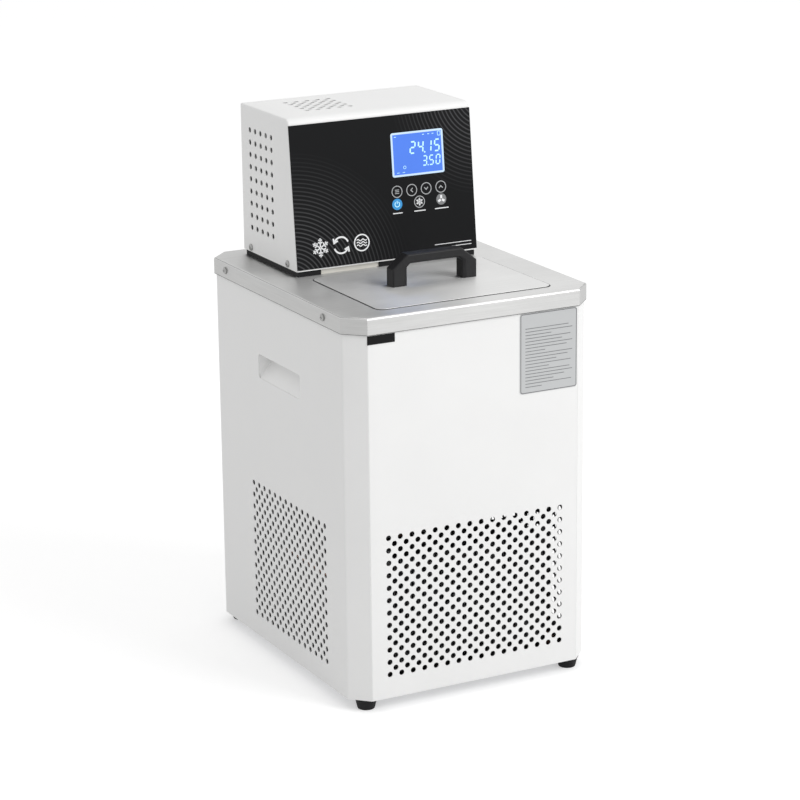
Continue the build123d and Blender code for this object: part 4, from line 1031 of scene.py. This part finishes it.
def one_skin(parts):
    """Several sheets merged along their shared edges, with every face turned the way the top looks."""
    mesh = mesh_of("skin", *joined(parts), merge=0.01 * mm)
    quads = np.array([polygon.vertices[:] for polygon in mesh.polygons])
    highest = max(mesh.polygons, key=lambda polygon: polygon.center[2])
    return points_of(mesh), quads if highest.normal[2] > 0 else quads[:, ::-1]


cover = walled("head_shell", *one_skin(cover_parts), cover_t)
seated(cover, white_paint, "chassis", "white_paint", "head_cover")
dress(white_paint, "head_back")
dress(zinc, "head_base")
dress(black_rubber, "head_pads")
cream = grained("cream_strip", (0.74, 0.72, 0.66), 0.5, 0.8, 0.01)
dress(cream, "spacer_strip")


# The control panel: a black printed film over the whole slope, with fine dark arcs in two corners, and
# the lit display with its figures behind a pale rim.
overlay_t, arc_pitch, arc_off, arc_on = 0.8 * mm, 4.5 * mm, 0.28, 0.42
low_arcs_out, low_arcs_v, low_arcs_r = 8 * mm, -16 * mm, (60 * mm, 150 * mm)
high_arcs_out, high_arcs_v, high_arcs_r = 18 * mm, 178 * mm, (50 * mm, 118 * mm)
display_low, display_high = span("display_frame")
display_w, display_x = display_high[0] - display_low[0], (display_low[0] + display_high[0]) / 2
display_h, display_v = 49.2 * mm, 116.1 * mm


def on_panel(x, v, lift):
    """Points on the sloping front: x across, v up the slope from the head's lower edge, lift outwards."""
    return np.stack([x, head_front + v * sin(slope) - lift * cos(slope),
                     head_z0 + v * cos(slope) + lift * sin(slope)], axis=-1)


def arcs(tree, place, centre, first, last):
    """Thin lines at even distances from a centre: the distance over the pitch, folded to a triangle
    wave, cut to a line, and faded out between the first and the last radius."""
    distance = wired(tree, "VectorMath", {0: place, 1: centre}, operation="DISTANCE").outputs["Value"]
    wave = wired(tree, "Math", {0: distance, 1: arc_pitch / 2}, operation="PINGPONG").outputs[0]
    line = wired(tree, "MapRange", {"Value": wave, "From Min": arc_off * arc_pitch,
                                    "From Max": arc_on * arc_pitch})
    fade = wired(tree, "MapRange", {"Value": distance, "From Min": first, "From Max": last,
                                    "To Min": 1.0, "To Max": 0.0})
    return wired(tree, "Math", {0: line.outputs["Result"], 1: fade.outputs["Result"]},
                 operation="MULTIPLY").outputs[0]


film, film_tree, film_shader = set_shader("panel_film", {"Roughness": 0.38, "Specular IOR Level": 0.10})
film_place = wired(film_tree, "TexCoord").outputs["Object"]
low_centre = on_panel(np.array(-head_w / 2 - low_arcs_out), np.array(low_arcs_v), 0.0)
high_centre = on_panel(np.array(head_w / 2 + high_arcs_out), np.array(high_arcs_v), 0.0)
film_arcs = wired(film_tree, "Math", {0: arcs(film_tree, film_place, low_centre, *low_arcs_r),
                                      1: arcs(film_tree, film_place, high_centre, *high_arcs_r)},
                  operation="MAXIMUM").outputs[0]
film_mix = wired(film_tree, "Mix", {"A": (0.006, 0.0063, 0.007, 1.0), "B": (0.060, 0.061, 0.064, 1.0),
                                    "Factor": film_arcs}, data_type="RGBA")
film_tree.links.new(film_mix.outputs["Result"], film_shader.inputs["Base Color"])
film_grain = wired(film_tree, "Group", {"Vector": film_place}, node_tree=grain_group)
bumped(film_tree, film_grain.outputs["Grain"], film_shader, 0.004 * mm)
seated(softened("panel_overlay", "panel_film", 0.2 * mm), film, "chassis", "overlay_black",
       "panel_overlay")


def lit(name, colour, level):
    """A lit surface: its colour drifts a little and shines by itself at this level."""
    material, tree, shader = set_shader(name, {"Roughness": 0.25, "Emission Strength": level})
    tone = two_tones(tree, grain_on(tree)["Cloud"], colour, 0.05)
    tree.links.new(tone, shader.inputs["Emission Color"])
    shader.inputs["Base Color"].default_value = (*[0.3 * c for c in colour], 1.0)
    return material


display_blue = lit("display_blue", (0.060, 0.19, 0.76), 0.88)
display_white = lit("display_white", (0.62, 0.80, 1.0), 0.75)
segment_white = lit("segment_white", (0.55, 0.90, 1.0), 0.90)
dress(display_blue, "display_glass")
seated(softened("display_frame", "display_rim", 0.35 * mm, segments=3), display_white, "chassis",
       "display_rim", "display_frame")

digit_segments = {"0": "abcdef", "1": "bc", "2": "abged", "3": "abgcd", "4": "fgbc", "5": "afgcd"}
segment_ends = {"a": ((0, 2), (1, 2)), "b": ((1, 2), (1, 1)), "c": ((1, 1), (1, 0)), "d": ((0, 0), (1, 0)),
                "e": ((0, 0), (0, 1)), "f": ((0, 1), (0, 2)), "g": ((0, 1), (1, 1))}
digit_lean, digit_share, digit_gap, point_place = 0.10, 0.52, 0.20, 0.12
stroke_share, stroke_gap = 0.115, 0.45


def ring(centre, radius, steps):
    """Points round a circle."""
    return np.array(centre) + radius * spokes(np.linspace(0, 2 * pi, steps, endpoint=False))


def number(text, right_x, low_v, height):
    """Ribbons of a number in seven-segment digits whose right edge is at right_x."""
    wide, stroke, ribbons, x = digit_share * height, stroke_share * height, [], right_x
    for character in reversed(text):
        if character == ".":
            spot = np.array([x + point_place * height, low_v + stroke / 2])
            ribbons.append(([spot - (stroke / 2, 0), spot + (stroke / 2, 0)], stroke, False))
            continue
        left = x - wide
        for segment in digit_segments[character]:
            ends = np.array(segment_ends[segment], dtype=float) * (wide - stroke, (height - stroke) / 2)
            ends += (left + stroke / 2, low_v + stroke / 2)
            way = (ends[1] - ends[0]) / np.linalg.norm(ends[1] - ends[0])
            ends += np.outer((1, -1), way) * stroke_gap * stroke
            ends[:, 0] += digit_lean * (ends[:, 1] - low_v)
            ribbons.append((ends, stroke, False))
        x = left - digit_gap * height
    return ribbons


def bar(x0, x1, v, width):
    """One straight ribbon across."""
    return [(x0 * mm, v * mm), (x1 * mm, v * mm)], width * mm, False


window_right, window_low = display_x + display_w / 2, display_v - display_h / 2
figures = number("24.15", window_right - 5.0 * mm, window_low + 24.0 * mm, 14.2 * mm)
figures += number("3.50", window_right - 5.0 * mm, window_low + 9.4 * mm, 11.6 * mm)
figures += [bar(x, x + 2.4, 136.0, 0.7) for x in (15.5, 51.0, 57.5, 63.0)]
figures += [bar(x, x + 3.0, 96.0, 0.6) for x in (17.0, 24.0)]
figures += [(ring((27.0 * mm, 101.5 * mm), 1.6 * mm, 24), 0.5 * mm, True)]
figures += [(rounded_outline((72.0 * mm, 135.5 * mm), (3.4 * mm, 4.6 * mm), 0.8 * mm), 0.6 * mm, True)]
seated(printed("display_figures", figures, on_panel, overlay_t), segment_white, "chassis", "display_rim")


# Seven touch fields printed on the film: rings with plain signs for menu, step and change, a blue power
# field, cold, and circulation, with short bars below them. Three larger signs stand low on the left.
key_x, key_v, key_r, key_line = np.array([15.5, 34.0, 52.3, 70.9]) * mm, 75.5 * mm, 6.3 * mm, 0.9 * mm
low_key_x, low_key_v = np.array([14.9, 43.0, 70.7]) * mm, 61.5 * mm
menu_half, menu_step, chevron_size, blade_w = 2.5 * mm, 1.9 * mm, 2.3 * mm, 2.6 * mm
sign_v, cold_x, flow_x, bath_x = 24.0 * mm, -83.0 * mm, -57.5 * mm, -32.0 * mm
wave_half, wave_step, wave_rise = 6.2 * mm, 3.0 * mm, 0.9 * mm


def moved(lines, x, v):
    """Ribbons given about nought, moved to a place on the panel."""
    return [(np.array(points) + (x, v), width, closed) for points, width, closed in lines]


def chevron(angle):
    """A two-stroke arrow head that points the way of the angle."""
    tip = np.array([[-0.6, 1.0], [0.5, 0.0], [-0.6, -1.0]]) * chevron_size
    way = np.array([[cos(angle), sin(angle)], [-sin(angle), cos(angle)]])
    return [(tip @ way, 1.0 * mm, False)]


def flake(radius, width):
    """A snow crystal: six arms, each with two pairs of side twigs."""
    arms = []
    for angle in np.arange(6) * pi / 3 + pi / 6:
        arm = spokes(angle)
        arms.append(([0.04 * radius * arm, radius * arm], width, False))
        for share, twig in ((0.45, 0.30), (0.72, 0.24)):
            for turn in (-pi / 3, pi / 3):
                root = share * radius * arm
                arms.append(([root, root + twig * radius * spokes(angle + turn)], width, False))
    return arms


def chasing_arrows(radius, width):
    """Two arcs that chase each other round a circle, each with an arrow head."""
    lines = []
    for start in (0.35, 0.35 + pi):
        turn = np.linspace(start, start + pi - 0.85, 18)
        outward, ahead = radius * spokes(turn[-1]), radius * spokes(turn[-1] + pi / 2)
        head = np.array([0.34 * outward - 0.30 * ahead, 0.16 * ahead, -0.34 * outward - 0.30 * ahead])
        lines += [(radius * spokes(turn), width, False), (outward + head, width, False)]
    return lines


def disc_of(radius):
    """A filled disc, as one closed ribbon as wide as its radius."""
    return [(ring((0.0, 0.0), radius / 2, 36), radius, True)]


key_print = grained("key_print", (0.46, 0.47, 0.48), 0.42, 0.5, 0.003)
white_print = grained("white_print", (0.86, 0.87, 0.88), 0.42, 0.5, 0.003)
power_blue = lit("power_blue", (0.03, 0.32, 0.72), 0.65)
key_ring = [(ring((0.0, 0.0), key_r, 48), key_line, True)]
key_lines = []
for x in key_x:
    key_lines += moved(key_ring, x, key_v)
for x, angle in zip(key_x[1:], (pi, -pi / 2, pi / 2)):
    key_lines += moved(chevron(angle), x, key_v)
for rise in (-menu_step, 0.0, menu_step):
    key_lines += moved([([(-menu_half, rise), (menu_half, rise)], 0.8 * mm, False)], key_x[0], key_v)
key_lines += moved(key_ring, low_key_x[1], low_key_v)
seated(printed("key_rings", key_lines, on_panel, overlay_t), key_print, "chassis", "key_print", "touch_keys")

bright = moved(flake(4.4 * mm, 0.8 * mm), low_key_x[1], low_key_v)
for way in spokes(np.arange(3) * 2 * pi / 3 + pi / 2):
    bright += moved([([0.9 * mm * way, 4.6 * mm * way], blade_w, False)], low_key_x[2], low_key_v)
bright += [bar(9.0, 21.0, 51.5, 1.1), bar(35.8, 50.2, 51.5, 1.1), bar(62.0, 79.4, 51.5, 1.1)]
bright += [bar(59.3, 106.0, 10.9, 0.7), bar(80.6, 106.0, 7.3, 0.7)]
bright += moved(flake(10.5 * mm, 1.5 * mm), cold_x, sign_v)
bright += moved(chasing_arrows(9.0 * mm, 1.9 * mm), flow_x, sign_v)
bright += moved([(ring((0.0, 0.0), 9.0 * mm, 48), 1.5 * mm, True)], bath_x, sign_v)
wave_x = np.linspace(-wave_half, wave_half, 25)
for rise in (-wave_step, 0.0, wave_step):
    wave_v = rise + wave_rise * np.sin(wave_x / wave_half * 2 * pi)
    bright += moved([(np.stack([wave_x, wave_v], axis=-1), 1.1 * mm, False)], bath_x, sign_v)
seated(printed("panel_signs", bright, on_panel, overlay_t), white_print, "chassis", "key_print")

grey_field = grained("grey_field", (0.20, 0.205, 0.21), 0.42, 0.5, 0.003)
for name, x, colour in (("grey_field", low_key_x[2], grey_field), ("power_field", low_key_x[0], power_blue)):
    seated(printed(name, moved(disc_of(key_r), x, low_key_v), on_panel, overlay_t, print_t / 2), colour,
           "chassis", "key_print")
power_sign = [(2.9 * mm * spokes(np.linspace(pi / 2 + 0.6, 2.5 * pi - 0.6, 30)), 0.8 * mm, False),
              ([(0.0, 0.6 * mm), (0.0, 3.8 * mm)], 0.8 * mm, False)]
seated(printed("power_sign", moved(power_sign, low_key_x[0], low_key_v), on_panel, overlay_t), segment_white,
       "chassis", "key_print")
board_green = grained("board_green", (0.02, 0.16, 0.07), 0.4, 1.5, 0.02, spread=0.15)
dress(board_green, "control_board")


# The back: a moulded mains inlet and a rocker switch low on the left, turned stainless hose tails on the
# head, and the drain's tail near the floor.
for node, name in (("supply_nozzle", "supply_tail"), ("return_nozzle", "return_tail"),
                   ("drain_nozzle", "drain_tail")):
    seated(softened(node, name, 0.3 * mm), tube_steel, "chassis", "nozzle_steel", node)
for node, body in (("power_inlet", "chassis"), ("switch_frame", "chassis"),
                   ("switch_rocker", "switch_rocker")):
    seated(softened(node, f"{node}_moulding", 0.35 * mm), black_moulding, body, "black_plastic", node)

bpy.context.view_layer.update()
